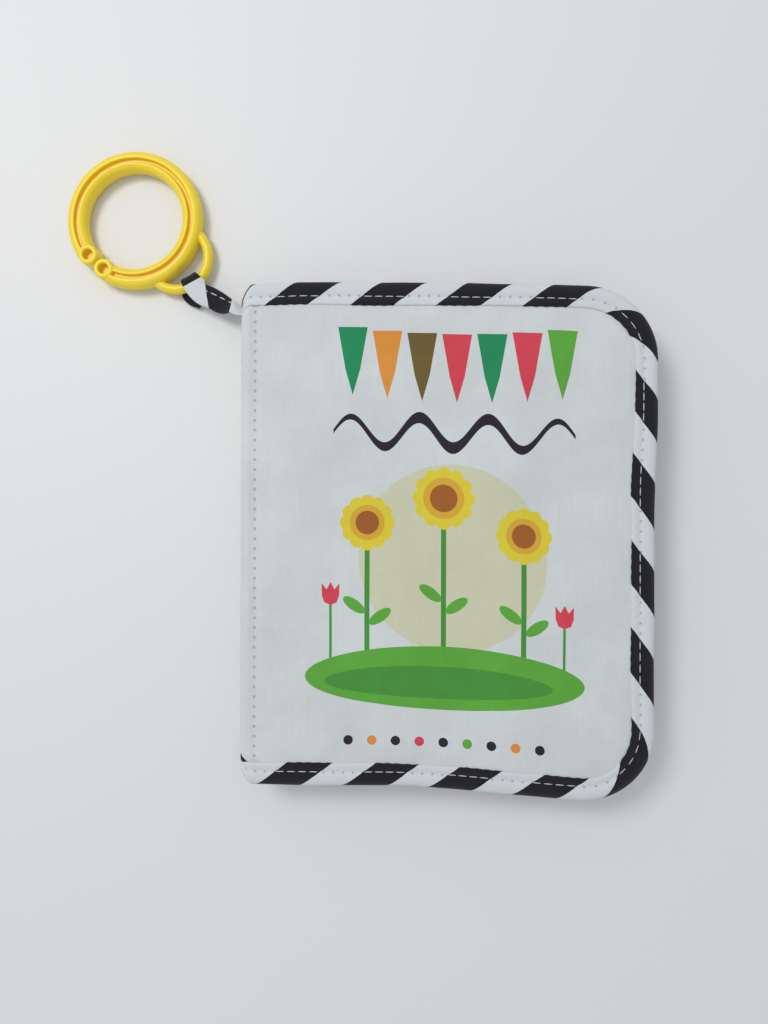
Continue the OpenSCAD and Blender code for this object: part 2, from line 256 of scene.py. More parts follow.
def hinge_hole_painted_shade(tree, coords):
    place = axis_values(tree, coords)
    off_seam = maths(tree, "SUBTRACT", place["X"], float(HINGE_SEAM_X) * MM)
    return needle_hole_painted_shade(tree, place["Y"], off_seam, STITCH_PITCH * MM, HINGE_HOLE_R * MM)


def woven_cloth(name, hex_colour, bump=0.3, mottle=0.05, sheen=0.15, seam=False):
    material, tree = new_material(name)
    coords = object_coords(tree)
    height = thread_height(tree, coords, 1500.0, 60.0)
    mottling = yarn_noise(tree, coords, (45.0, 45.0, 45.0))
    threads = remapped(tree, height, 0.5, 1.1, 0.965, 1.03)
    shade = maths(tree, "MULTIPLY", remapped(tree, mottling, 0.3, 0.7, 1 - mottle, 1 + mottle), threads)
    # Painted shade in the needle holes along the hinge seam
    if seam:
        shade = maths(tree, "MULTIPLY", shade, hinge_hole_painted_shade(tree, coords))
    finish_material(tree, Base_Color=shaded(tree, linear(hex_colour), shade), Roughness=0.9,
                    Sheen_Weight=sheen, Sheen_Roughness=0.6, Specular_IOR_Level=0.25,
                    Normal=dented(tree, height, bump, 0.00012))
    return material


cover_cotton = woven_cloth("cover_polycotton_white", "#D0D6D6", seam=True)
lining_cotton = woven_cloth("lining_polycotton_white", "#D2D7D9", mottle=0.03)
leaf_cotton = woven_cloth("leaf_polycotton_white", "#D4D9DB", mottle=0.03)
# Each ink's field, material name, colour and mottling
INK_SHADES = [
    ("print_emerald", "emerald", "#1F8A58", 0.09), ("print_orange", "orange", "#D9913C", 0.07),
    ("print_olive", "olive", "#6E5C30", 0.09), ("print_red", "pink_red", "#D44454", 0.07),
    ("print_dark", "near_black", "#26202E", 0.12), ("print_cream", "cream", "#CCCEB2", 0.03),
    ("print_meadow", "leaf_green", "#5CA83C", 0.07), ("print_meadow_dark", "grass_green", "#46923A", 0.07),
    ("print_yellow", "yellow", "#DCCB3A", 0.05), ("print_amber", "amber", "#D8A838", 0.05),
    ("print_brown", "brown", "#A06028", 0.09),
]
INKS = {field: woven_cloth("print_ink_" + name, shade, mottle=mottle)
        for field, name, shade, mottle in INK_SHADES}
print(len(INKS), "inks on one weave")

# %% [markdown]
# ### Striped bias binding
# The binding is printed cotton cut on the bias, at 45 degrees to its threads, so that it bends
# round a corner. The stripes lean for the same reason. They are drawn in the binding's own UV
# maps. In the map "tape" U is the distance along it in millimetres and V the distance across it,
# from one lip round the rolled edge to the other. In the map "stripes" U counts the stripes, so
# that each can lie where the real, unevenly stretched tape has it.

# %% Striped binding
# Dark stripes along the binding's inner edge, from the hinge at the head, in millimetres
DARK_STRIPES = [(3.2, 18.8), (33.8, 49.0), (63.8, 79.2), (93.5, 108.8), (122.2, 134.0), (145.8, 160.0),
                (174.2, 189.2), (204.5, 219.5), (234.2, 250.0), (265.2, 281.8), (294.2, 309.5),
                (324.0, 338.8), (353.2, 368.5), (383.8, 400.2)]
STRIPE_PITCH = 29.3
DARK_SHARE = 0.52
STRIPE_LEAN = 1.3
LIP_V = 0.6
SEAM_V = 3.7
TAPE_HOLE_R = 0.4


def stripe_marks(pairs):
    """The ends of the dark stripes, and the count of stripes at each of them."""
    turns = [k + part for k in range(len(pairs)) for part in (0.0, DARK_SHARE)]
    return [mark for pair in pairs for mark in pair], turns


def stripe_turns(s):
    """How many stripes lie before a place along the binding. Each dark one starts at a whole number."""
    marks, turns = stripe_marks(DARK_STRIPES)
    if s < marks[0]:
        return (s - marks[0]) / STRIPE_PITCH
    if s > marks[-1]:
        return turns[-1] + (s - marks[-1]) / STRIPE_PITCH
    return float(np.interp(s, marks, turns))


def is_dark(s, v=SEAM_V):
    turn = stripe_turns(s) - STRIPE_LEAN / STRIPE_PITCH * (v - LIP_V)
    return turn % 1.0 < DARK_SHARE


def striped_binding(name, light_hex, dark_hex, lean, seam):
    material, tree = new_material(name)
    tape = axis_values(tree, add_node(tree, "ShaderNodeUVMap", {"uv_map": "tape"}).outputs[0])
    along, across = tape["X"], tape["Y"]
    turns = axis_values(tree, add_node(tree, "ShaderNodeUVMap", {"uv_map": "stripes"}).outputs[0])["X"]
    slub = yarn_noise(tree, object_coords(tree), (700.0, 700.0, 700.0))
    fray = maths(tree, "MULTIPLY_ADD", slub, 0.012, -0.006)
    slant = maths(tree, "MULTIPLY_ADD", across, -lean / STRIPE_PITCH, lean / STRIPE_PITCH * LIP_V)
    leaned = maths(tree, "ADD", maths(tree, "ADD", turns, slant), fray)
    dark = maths(tree, "LESS_THAN", maths(tree, "FLOORED_MODULO", leaned, 1.0), DARK_SHARE)
    bias = add_node(tree, "ShaderNodeCombineXYZ", X=maths(tree, "ADD", along, across),
                    Y=maths(tree, "SUBTRACT", along, across)).outputs[0]
    height = thread_height(tree, bias, 1.1, 0.06)
    shade = remapped(tree, height, 0.5, 1.1, 0.95, 1.03)
    # Painted shade in the needle holes along the binding's seam
    if seam:
        off_seam = maths(tree, "SUBTRACT", across, SEAM_V)
        hole_painted_shade = needle_hole_painted_shade(tree, along, off_seam, STITCH_PITCH, TAPE_HOLE_R)
        shade = maths(tree, "MULTIPLY", shade, hole_painted_shade)
    base = mixed(tree, dark, linear(light_hex), linear(dark_hex))
    finish_material(tree, Base_Color=shaded(tree, base, shade), Roughness=0.88, Sheen_Weight=0.12,
                    Sheen_Roughness=0.6, Specular_IOR_Level=0.25, Normal=dented(tree, height, 0.35, 0.00014))
    return material


binding_cotton = striped_binding("bias_binding_cotton", "#D2D8DA", "#16161F", STRIPE_LEAN, True)
tie_cotton = striped_binding("tie_tape_cotton", "#D2D8DA", "#16161F", 0.0, False)

# %% [markdown]
# ### Thread, plastic and film
# Sewing thread is spun: it has a fine twist and a soft shine. The ring is moulded polypropylene,
# satin with a slight mould texture and a warm, saturated yellow that light enters a little. The
# pocket is clear soft vinyl, which shows mostly by its gloss.

# %% Thread, plastic and film


def sewing_thread(name, hex_colour):
    material, tree = new_material(name)
    twist = yarn_noise(tree, object_coords(tree), (2600.0, 2600.0, 2600.0))
    colour = mixed(tree, twist, linear(hex_colour), linear("#E6E8EA"))
    finish_material(tree, Base_Color=colour, Roughness=0.7, Sheen_Weight=0.2,
                    Normal=dented(tree, twist, 0.4, 0.00008))
    return material


def moulded_plastic(name, hex_colour, deep_hex):
    material, tree = new_material(name)
    coords = object_coords(tree)
    flow = yarn_noise(tree, coords, (90.0, 90.0, 260.0))
    grain = yarn_noise(tree, coords, (2400.0, 2400.0, 2400.0))
    finish_material(tree, Base_Color=mixed(tree, flow, linear(deep_hex), linear(hex_colour)),
                    Roughness=remapped(tree, flow, 0.2, 0.8, 0.3, 0.42), IOR=1.49,
                    Subsurface_Weight=0.25, Subsurface_Radius=(0.004, 0.0025, 0.0006),
                    Subsurface_Scale=1.0, Normal=dented(tree, grain, 0.12, 0.00006))
    return material


def clear_vinyl(name):
    material, tree = new_material(name)
    ripple = yarn_noise(tree, object_coords(tree), (30.0, 60.0, 30.0))
    finish_material(tree, Base_Color=linear("#EEF2F4"), Roughness=0.12, IOR=1.53, Alpha=0.3,
                    Normal=dented(tree, ripple, 0.3, 0.0008))
    return material


thread = sewing_thread("spun_polyester_thread", "#A9ADB4")
yellow_plastic = moulded_plastic("moulded_polypropylene_yellow", "#F8E03A", "#F2D426")
# A deeper yellow for the groove and the cups: painted shade in these hollows
groove_painted_shade_plastic = moulded_plastic("moulded_polypropylene_groove_painted_shade", "#F6D222", "#F0C614")
film_vinyl = clear_vinyl("clear_pocket_vinyl")

# %% [markdown]
# ## The cloth of a cover
# A cover is two layers of cloth with thin wadding between them. On the real book the outer cloth
# runs on from the front cover round the spine to the back cover, and a row of stitches through
# all layers makes the hinge. So each cover's piece runs from inside the edge binding, over the
# hinge and half way round the spine, where the two pieces meet. The hinge zone is made thin.
# First the plan of a cover: how far a point lies inside the cover's edge.

# %% Plan of a cover
X_FLAT_CLOTH = X_FOLD + FOLD_R
WRAP_LEN = math.pi / 2 * FOLD_R + BOOK_T / 2 - FOLD_R
CLOTH_INSET = 1.5
SPINE_END_DROP = 5.5
LIP_DROP_SHARE = 0.35


def edge_distance(x, y, x1=X_FORE, half_h=Y_HEAD, radius=CORNER_R):
    """Distance inward from the three free edges of a cover or a leaf, round its two fore corners."""
    qx = x - (x1 - radius)
    qy = np.abs(y) - (half_h - radius)
    round_part = radius - np.hypot(np.maximum(qx, 0), np.maximum(qy, 0))
    return np.where((qx > 0) & (qy > 0), round_part, np.minimum(x1 - x, half_h - np.abs(y)))


def rounded_outline(x0, x1, half_h, radius, step):
    """Points round a plan that is square at x0 and rounded at x1."""
    arc_steps = max(6, int(radius * math.pi / 2 / step))
    points = []
    for i in range(arc_steps + 1):
        a = math.pi / 2 * i / arc_steps
        points.append((x1 - radius + radius * math.sin(a), half_h - radius + radius * math.cos(a)))
    lower = [(x, -y) for x, y in reversed(points)]
    corners = [(x0, half_h)] + points + lower + [(x0, -half_h)]
    return densify(corners, step)


def densify(corners, step):
    """Closed outline with its long stretches cut to about one step."""
    dense = []
    for (xa, ya), (xb, yb) in zip(corners, corners[1:] + corners[:1]):
        parts = max(1, round(math.hypot(xb - xa, yb - ya) / step))
        dense += [(xa + (xb - xa) * k / parts, ya + (yb - ya) * k / parts) for k in range(parts)]
    return dense


def spine_end_drop(reach):
    """How far the spine's ends draw in, by the distance from the hinge round the fold."""
    return SPINE_END_DROP * smoothstep((reach - 1.0) / 7.5)


# %% [markdown]
# ### Wadding and slack
# A sewn cover isn't flat: the cloth is a little larger than the frame of seams that holds it, so
# it swells over the wadding and buckles softly near the seams. Blender's cloth solver finds that
# shape. A coarse sheet is pinned along the binding and the hinge, made a little larger than its
# frame, and pressed up from below. Its height is then read back onto the fine mesh.

# %% Simulate the padded cover
SIM_STEP = 3.0
SIM_FRAMES = 24
SIM_SCALE = 10
SIM_SLACK = 0.006
SWELL_CAP = 0.75


def simulate_swell():
    x0, x1 = X_HINGE, X_FORE - BINDING_W
    y1 = Y_HEAD - BINDING_W
    nx = int(round((x1 - x0) / SIM_STEP)) + 1
    ny = int(round(2 * y1 / SIM_STEP)) + 1
    xs = np.linspace(x0, x1, nx)
    ys = np.linspace(-y1, y1, ny)
    gx, gy = np.meshgrid(xs, ys, indexing="ij")
    seed = np.random.default_rng(5).normal(0, 0.15, gx.shape)
    points = np.stack([gx, gy, seed], axis=-1).reshape(-1, 3)
    faces = [(i * ny + j, (i + 1) * ny + j, (i + 1) * ny + j + 1, i * ny + j + 1)
             for i in range(nx - 1) for j in range(ny - 1)]
    # The solver likes objects of about a metre, so the sheet is simulated larger than it is
    sheet = mesh_object("swell_sheet", points * SIM_SCALE, faces)
    held = [k for k, (x, y) in enumerate(points[:, :2])
            if edge_distance(x, y) < BINDING_W + 0.1 or x < x0 + 0.1]
    group = sheet.vertex_groups.new(name="seams")
    group.add(held, 1.0, "REPLACE")
    cloth = sheet.modifiers.new("cloth", "CLOTH")
    settings = cloth.settings
    settings.quality = 6
    settings.mass = 0.2
    settings.vertex_group_mass = "seams"
    settings.tension_stiffness = 30
    settings.compression_stiffness = 30
    settings.shear_stiffness = 10
    settings.bending_stiffness = 2.0
    settings.shrink_min = -SIM_SLACK
    settings.effector_weights.gravity = 0
    settings.use_pressure = True
    settings.uniform_pressure_force = 0.6
    scene = bpy.context.scene
    for number in range(1, SIM_FRAMES + 1):
        scene.frame_set(number)
    evaluated = sheet.evaluated_get(bpy.context.evaluated_depsgraph_get())
    count = len(evaluated.data.vertices)
    flat = np.empty(count * 3)
    evaluated.data.vertices.foreach_get("co", flat)
    swell = flat.reshape(-1, 3)[:, 2].reshape(nx, ny) / MM / SIM_SCALE
    bpy.data.objects.remove(sheet)
    scene.frame_set(1)
    print(f"raw swell {swell.min():.2f} to {swell.max():.2f} mm")
    return xs, ys, swell


def soften(field, rounds):
    for _ in range(rounds):
        padded = np.pad(field, 1, mode="edge")
        field = (padded[:-2, 1:-1] + padded[2:, 1:-1] + padded[1:-1, :-2] + padded[1:-1, 2:] + 4 * field) / 8
    return field


def split_swell(swell):
    """The broad swelling is capped, and the folds on top of it are kept."""
    broad = soften(swell, 60)
    folds = swell - broad
    scale = 0.22 / max(1e-6, np.abs(folds).std() * 2.5)
    capped = SWELL_CAP * np.tanh(broad / max(1e-6, broad.max()) * 1.5)
    return capped + np.clip(folds * min(scale, 3.0), -0.4, 0.4)


swell_x, swell_y, raw_swell = simulate_swell()
swell_field = split_swell(raw_swell)


def cubic_weights(t):
    return np.stack([-0.5 * t + t ** 2 - 0.5 * t ** 3, 1 - 2.5 * t ** 2 + 1.5 * t ** 3,
                     0.5 * t + 2 * t ** 2 - 1.5 * t ** 3, -0.5 * t ** 2 + 0.5 * t ** 3])


def swell_at(x, y):
    """The simulated height between the sheet's points, on a smooth cubic."""
    fx = np.clip((x - swell_x[0]) / (swell_x[1] - swell_x[0]), 0, len(swell_x) - 1.001)
    fy = np.clip((y - swell_y[0]) / (swell_y[1] - swell_y[0]), 0, len(swell_y) - 1.001)
    ix, iy = fx.astype(int), fy.astype(int)
    wx, wy = cubic_weights(fx - ix), cubic_weights(fy - iy)
    total = np.zeros_like(fx)
    for a in range(4):
        for b in range(4):
            px = np.clip(ix + a - 1, 0, len(swell_x) - 1)
            py = np.clip(iy + b - 1, 0, len(swell_y) - 1)
            total += wx[a] * wy[b] * swell_field[px, py]
    return total


print(f"swell used {swell_field.min():.2f} to {swell_field.max():.2f} mm")

# %% [markdown]
# ### The print
# The front cover carries plain printed fields: a row of pennants, a wavy band, a pale sun with
# flowers on a meadow, and a row of dots. Ink has no thickness, so the fields are cut into the
# cloth's own mesh: their outlines become edges of the triangulation, and each triangle takes the
# material of the topmost field that it lies in. Each shape below is an outline in millimetres.

# %% Outlines of the printed fields


def circle_outline(cx, cy, r, steps=36, squash=1.0, turn=0.0):
    c, s = math.cos(turn), math.sin(turn)
    points = []
    for k in range(steps):
        px, py = r * math.cos(math.tau * k / steps), r * squash * math.sin(math.tau * k / steps)
        points.append((cx + c * px - s * py, cy + s * px + c * py))
    return points


PENNANT_W, PENNANT_H, PENNANT_PITCH, PENNANT_COUNT = 10.4, 24.0, 12.1, 7
PENNANT_INKS = ["print_emerald", "print_orange", "print_olive", "print_red", "print_emerald",
                "print_red", "print_meadow"]
ROW_Y, ROW_X = 70.6, 4.0
FLOWERS = [(-27.0, 4.0, 7.2), (0.0, 13.0, 8.4), (28.0, 1.0, 7.2)]
PETAL_COUNT, PETAL_R = 12, 2.6
MEADOW_Y, MEADOW_HALF_W, MEADOW_HALF_H = -50.0, 49.0, 11.0
STEM_W = 1.8
TULIPS = [(-40.0, -22.0), (42.0, -27.0)]
DOT_Y, DOT_R, DOT_PITCH = -72.5, 1.7, 8.4
DOT_INKS = ["print_dark", "print_orange", "print_dark", "print_red", "print_dark", "print_meadow",
            "print_dark", "print_orange", "print_dark"]


def pennant_outline(index):
    offset = index - (PENNANT_COUNT - 1) / 2
    x, y = ROW_X + offset * PENNANT_PITCH, ROW_Y + 2.2 * (offset / 3) ** 2
    half = PENNANT_W / 2
    low = y - PENNANT_H * 0.62
    return [(x - half, y), (x - half / 2, low), (x, y - PENNANT_H), (x + half / 2, low), (x + half, y)]


def wave_outline(steps=110):
    def side(sign):
        row = []
        for k in range(steps + 1):
            t = k / steps
            half = 2.1 * (0.35 + 0.65 * math.sin(math.pi * t))
            row.append((3 - 42 + 84 * t, 36 + 5.2 * math.sin(math.tau * 3.5 * t) + sign * half))
        return row
    return side(1) + side(-1)[::-1]


def flower_outline(cx, cy, r, steps=144):
    """Round petals whose outer arcs meet: the farthest petal point in each direction."""
    points = []
    for k in range(steps):
        a = math.tau * k / steps
        turn = (a + math.pi / PETAL_COUNT) % (math.tau / PETAL_COUNT) - math.pi / PETAL_COUNT
        inside = PETAL_R ** 2 - (r * math.sin(turn)) ** 2
        reach = r * math.cos(turn) + math.sqrt(max(inside, 0.01))
        points.append((cx + reach * math.cos(a), cy + reach * math.sin(a)))
    return points


def tulip_outline(cx, cy):
    head = [(-3.1, 0.3), (-3.2, 4.6), (-1.4, 2.4), (0, 5.0), (1.4, 2.4), (3.2, 4.6), (3.1, 0.3),
            (2.2, -2.2), (0, -3.1), (-2.2, -2.2)]
    return [(cx + x, cy + y) for x, y in head]


def bar_outline(cx, y0, y1, width):
    return [(cx - width / 2, y0), (cx + width / 2, y0), (cx + width / 2, y1), (cx - width / 2, y1)]


def printed_fields():
    """Every field from the lowest to the topmost, as (ink, outline)."""
    fields = [("print_cream", circle_outline(3, -8, 33, 120))]
    fields += [(PENNANT_INKS[i], pennant_outline(i)) for i in range(PENNANT_COUNT)]
    fields.append(("print_dark", wave_outline()))
    for x, y, r in FLOWERS:
        fields.append(("print_meadow_dark", bar_outline(x, MEADOW_Y, y, STEM_W)))
        middle = (y + MEADOW_Y) / 2 - 4
        for side in (-1, 1):
            fields.append(("print_meadow", circle_outline(x + side * 4.6, middle - side * 2, 4.6, 30, 0.42,
                                                          math.radians(35 * side))))
    for x, y in TULIPS:
        fields.append(("print_meadow_dark", bar_outline(x, MEADOW_Y + 4, y, STEM_W / 2)))
        fields.append(("print_red", tulip_outline(x, y)))
    squash = MEADOW_HALF_H / MEADOW_HALF_W
    fields.append(("print_meadow", circle_outline(0, MEADOW_Y, MEADOW_HALF_W, 150, squash)))
    grass = circle_outline(-2, MEADOW_Y - 1.6, MEADOW_HALF_W * 0.82, 120, squash * 0.62)
    fields.append(("print_meadow_dark", grass))
    for x, y, r in FLOWERS:
        fields.append(("print_yellow", flower_outline(x, y, r)))
        fields.append(("print_amber", circle_outline(x, y, r * 0.86, 48)))
        fields.append(("print_brown", circle_outline(x, y, r * 0.58, 40)))
    for i, shade in enumerate(DOT_INKS):
        fields.append((shade, circle_outline((i - 4) * DOT_PITCH, DOT_Y, DOT_R, 24)))
    return fields


print(len(printed_fields()), "printed fields")

# %% [markdown]
# ### Triangulate the cloth
# The cloth's points are a square grid, the cover's outline and the outlines of the print. A
# constrained Delaunay triangulation joins them and keeps every outline as a chain of edges. Grid
# points that lie too close to an outline are dropped first, so that no sliver is left.

# %% Constrained triangulation


def inside_outline(outline, px, py):
    """Even-odd test of many points at once."""
    result = np.zeros(px.shape, bool)
    poly = np.asarray(outline)
    for (xa, ya), (xb, yb) in zip(poly, np.roll(poly, -1, axis=0)):
        if ya == yb:
            continue
        crosses = (ya > py) != (yb > py)
        result ^= crosses & (px < (xb - xa) * (py - ya) / (yb - ya) + xa)
    return result


def triangulate(border, fields, grid_step):
    lines = [border] + [densify(list(outline), grid_step) for _, outline in fields]
    fixed = np.array([p for line in lines for p in line])
    low, high = np.array(border).min(axis=0), np.array(border).max(axis=0)
    gx, gy = np.meshgrid(np.arange(low[0] + grid_step / 2, high[0], grid_step),
                         np.arange(low[1] + grid_step / 2, high[1], grid_step), indexing="ij")
    gx, gy = gx.ravel(), gy.ravel()
    keep = inside_outline(border, gx, gy)
    cells = {}
    for x, y in fixed:
        cells.setdefault((int(x // grid_step), int(y // grid_step)), []).append((x, y))
    near = 0.45 * grid_step
    for k in np.nonzero(keep)[0]:
        cx, cy = int(gx[k] // grid_step), int(gy[k] // grid_step)
        for a in (-1, 0, 1):
            for b in (-1, 0, 1):
                for x, y in cells.get((cx + a, cy + b), ()):
                    if (x - gx[k]) ** 2 + (y - gy[k]) ** 2 < near ** 2:
                        keep[k] = False
    points = [Vector(p) for p in fixed] + [Vector((x, y)) for x, y in zip(gx[keep], gy[keep])]
    edges, first = [], 0
    for line in lines:
        n = len(line)
        edges += [(first + i, first + (i + 1) % n) for i in range(n)]
        first += n
    flat, _, faces, _, _, _ = delaunay_2d_cdt(points, edges, [], 0, 1e-5)
    flat = np.array([(p.x, p.y) for p in flat])
    faces = np.array([f for f in faces if len(f) == 3])
    middle = flat[faces].mean(axis=1)
    faces = faces[inside_outline(border, middle[:, 0], middle[:, 1])]
    one, other = flat[faces[:, 1]] - flat[faces[:, 0]], flat[faces[:, 2]] - flat[faces[:, 0]]
    area = one[:, 0] * other[:, 1] - one[:, 1] * other[:, 0]
    faces[area < 0] = faces[area < 0][:, ::-1]
    return flat, faces


def boundary_chain(faces):
    """Directed edges that only one triangle has."""
    directed = set()
    for a, b, c in faces:
        directed.update([(a, b), (b, c), (c, a)])
    return [(a, b) for a, b in directed if (b, a) not in directed]


def shell_faces(faces, count, first=0):
    """The upper faces, the same ones turned over for the lower points, and the rim between them."""
    rim = [(b, a, a + count, b + count) for a, b in boundary_chain(faces)]
    both = [tuple(f) for f in faces] + [tuple(f[::-1] + count) for f in faces] + rim
    return [tuple(k + first for k in face) for face in both]


# %% [markdown]
# ### Shape of the cloth
# The flat triangulation is lifted into place. Over the cover it follows the swell; at the hinge
# it dips to the stitches and puckers between them; past the hinge it rolls round the spine's
# fold. The inner layer follows at the wadding's thickness, thin at the hinge.

# %% Lift the flat cloth into the book's shape
MID_Z = BOOK_T - COVER_T / 2
LIP_RISE = 1.2
PANEL_RISE = 1.62
HINGE_DIP = 0.75
ON_TABLE = 0.03
FRONT_GRID, BACK_GRID = 1.3, 1.6


def outer_height(x, y):
    """Height of the outer cloth over the cover's middle plane."""
    inward = edge_distance(x, y) - BINDING_W
    rise = LIP_RISE + (PANEL_RISE - LIP_RISE) * (1 - np.exp(-np.maximum(inward, 0) / 3.5))
    rise = np.where(inward < 0, LIP_RISE - 0.1, rise)
    pinch = np.exp(-np.abs(inward - 0.6) / 1.4) * 0.10
    edge_turn = x + np.sign(y) * y
    rise -= pinch * (0.5 + 0.5 * np.cos(math.tau * edge_turn / STITCH_PITCH))
    on_panel = smoothstep((x - X_HINGE) / 9) * smoothstep(inward / 5)
    rise += on_panel * swell_at(np.maximum(x, X_HINGE), y)
    off = x - X_HINGE + 0.2
    width = 1.1 + 0.25 * np.cos(math.tau * y / STITCH_PITCH)
    rise -= HINGE_DIP * np.exp(-(off / width) ** 2)
    rise -= 0.10 * np.exp(-np.abs(off) / 2.2) * np.cos(math.tau * y / STITCH_PITCH)
    rise -= 0.12 * np.exp(-np.abs(off) / 4) * np.sin(y / 7.3 + np.sin(y / 19))
    spine_ripple = np.where(x < X_HINGE, 0.10 * np.sin(y / 9 + 1.2 * np.sin(y / 23)), 0)
    return rise + spine_ripple * smoothstep((X_HINGE - x) / 2)


def fold_curve(x):
    """Place and outward direction of the book's outside, rolled round the spine's fold."""
    wrap = np.maximum(X_FLAT_CLOTH - x, 0)
    angle = np.minimum(wrap / FOLD_R, math.pi / 2)
    down = np.maximum(wrap - math.pi / 2 * FOLD_R, 0)
    cx = np.where(wrap > 0, X_FLAT_CLOTH - FOLD_R * np.sin(angle), x)
    cz = BOOK_T - FOLD_R * (1 - np.cos(angle)) - down
    return cx, cz, np.stack([-np.sin(angle), np.zeros_like(x), np.cos(angle)], axis=-1), wrap


def lift(x, y):
    """Outer points, and the direction that points out of the cloth there."""
    cx, cz, out, wrap = fold_curve(x)
    drop = spine_end_drop(np.maximum(X_HINGE - x, 0))
    cy = y * (1 - drop / Y_HEAD)
    extra = outer_height(np.maximum(x, X_FLAT_CLOTH), y) - COVER_T / 2
    extra = extra * (1 - smoothstep(wrap / 9) * 0.9)
    # Round the fold the cloth under the tape stays sunk, so that it doesn't show through
    tape_lip = Y_HEAD - BINDING_W - LIP_DROP_SHARE * drop
    sunk = smoothstep((np.abs(cy) - tape_lip + 0.2) / 0.8) * smoothstep((X_HINGE - x) / 2)
    extra = extra * (1 - sunk) - 0.8 * sunk
    points = np.stack([cx, cy, cz], axis=-1) + out * extra[:, None]
    return points, out


def cloth_thickness(x, y):
    hinge = np.exp(-((x - X_HINGE) / 2.0) ** 2)
    cover = 2 * np.minimum(outer_height(np.maximum(x, X_HINGE), y), COVER_T / 2)
    body = np.where(x > X_HINGE, cover, 2.4)
    return body * (1 - hinge) + 0.9 * hinge


def skewed(points):
    """The closed book lies a little out of square, and its hand-sewn edges sway a little."""
    moved = points.copy()
    x, y = points[:, 0], points[:, 1]
    head_sway = 0.75 * (1 - smoothstep((x - 35) / 25))
    tail_sway = 1.9 * np.exp(-((x + 8) / 33) ** 2) - 0.3 * np.exp(-((x - 45) / 15) ** 2)
    share = np.clip((y + Y_HEAD) / (2 * Y_HEAD), 0, 1)
    sway = tail_sway * (1 - share) + head_sway * share
    moved[:, 1] += sway * smoothstep((x - X_HINGE) / 18) - COVER_SKEW * np.maximum(x - X_HINGE, 0)
    bow = -0.8 + 1.2 * smoothstep((y - 15) / 35)
    moved[:, 0] += bow * smoothstep((x - X_HINGE) / (X_FORE - X_HINGE))
    return moved


def cover_cloth(name, is_front, fields, grid_step):
    border = rounded_outline(X_FLAT_CLOTH - WRAP_LEN, X_FORE - CLOTH_INSET, Y_HEAD - CLOTH_INSET,
                             CORNER_R - CLOTH_INSET, grid_step)
    flat, faces = triangulate(border, fields, grid_step)
    outer, out = lift(flat[:, 0], flat[:, 1])
    inner = outer - out * cloth_thickness(flat[:, 0], flat[:, 1])[:, None]
    points = np.vstack([outer, inner])
    if is_front:
        points = skewed(points)
    else:
        points[:, 2] = np.maximum(BOOK_T - points[:, 2], ON_TABLE)
    count = len(flat)
    all_faces = shell_faces(faces, count)
    if not is_front:
        all_faces = [tuple(reversed(f)) for f in all_faces]
    cloth = mesh_object(name, points, all_faces)
    inks = [cover_cotton, lining_cotton] + [INKS[k] for k in sorted(INKS)]
    for ink in inks:
        cloth.data.materials.append(ink)
    index = np.zeros(len(cloth.data.polygons), int)
    index[len(faces):] = 1
    middle = flat[faces].mean(axis=1)
    for ink_name, outline in fields:
        inside = inside_outline(outline, middle[:, 0], middle[:, 1])
        index[:len(faces)][inside] = 2 + sorted(INKS).index(ink_name)
    cloth.data.polygons.foreach_set("material_index", index)
    print(name, len(cloth.data.polygons), "faces")
    return cloth


front_cloth = cover_cloth("front_cover_cloth", True, printed_fields(), FRONT_GRID)
back_cloth = cover_cloth("back_cover_cloth", False, [], BACK_GRID)

# %% [markdown]
# ## The edge binding
# Binding is a folded strip that hugs the cover's edge. It is one section, swept along the edge:
# each station of the path has a place, a direction outward across the tape and a direction out
# of the cover. The section has a lip with some thickness, a groove where the stitches pull it
# down, and a full, soft roll at the edge.

# %% Section and sweep
# Points of half the section: distance outward from the lip, and height over the middle
HALF_SECTION = [(0.0, 1.02), (-0.08, 1.3), (0.0, 1.62), (0.35, 1.8), (1.0, 1.84), (1.8, 1.76), (2.4, 1.56),
                (2.8, 1.46), (3.2, 1.58), (3.9, 1.82), (4.8, 1.94), (5.8, 1.86), (6.7, 1.58), (7.4, 1.12),
                (7.85, 0.56), (8.0, 0.0)]
INNER_SECTION = [(0.6, -0.75), (6.4, -0.6), (6.8, 0.0), (6.4, 0.6), (0.6, 0.75)]
SEAM_OUT = 2.8


def binding_section():
    upper = HALF_SECTION
    lower = [(w, -h) for w, h in reversed(HALF_SECTION[:-1])]
    outer = upper + lower
    across, distance = [0.0], 0.0
    for (wa, ha), (wb, hb) in zip(outer, outer[1:]):
        distance += math.hypot(wb - wa, hb - ha)
        across.append(distance)
    inner_across = [distance + 1 + 0.5 * k for k in range(len(INNER_SECTION))]
    return np.array(outer + INNER_SECTION), np.array(across + inner_across)


def tape_mesh(name, rings, along, turns, across, material):
    """Joins rings of points into a closed skin with the UV maps "tape" and "stripes"."""
    stations, width = len(rings), len(rings[0])
    faces, corners = [], []
    for i in range(stations - 1):
        for j in range(width):
            k = (j + 1) % width
            faces.append((i * width + j, i * width + k, (i + 1) * width + k, (i + 1) * width + j))
            near, far = across[j], across[k] if k else across[j] + 0.5
            corners += [(i, near), (i, far), (i + 1, far), (i + 1, near)]
    faces.append(tuple(range(width)))
    corners += [(0, a) for a in across]
    faces.append(tuple((stations - 1) * width + j for j in reversed(range(width))))
    corners += [(stations - 1, a) for a in reversed(across)]
    obj = mesh_object(name, np.vstack(rings), faces)
    for layer_name, values in (("tape", along), ("stripes", turns)):
        layer = obj.data.uv_layers.new(name=layer_name)
        layer.data.foreach_set("uv", np.array([(values[i], a) for i, a in corners]).ravel())
    obj.data.materials.append(material)
    return obj


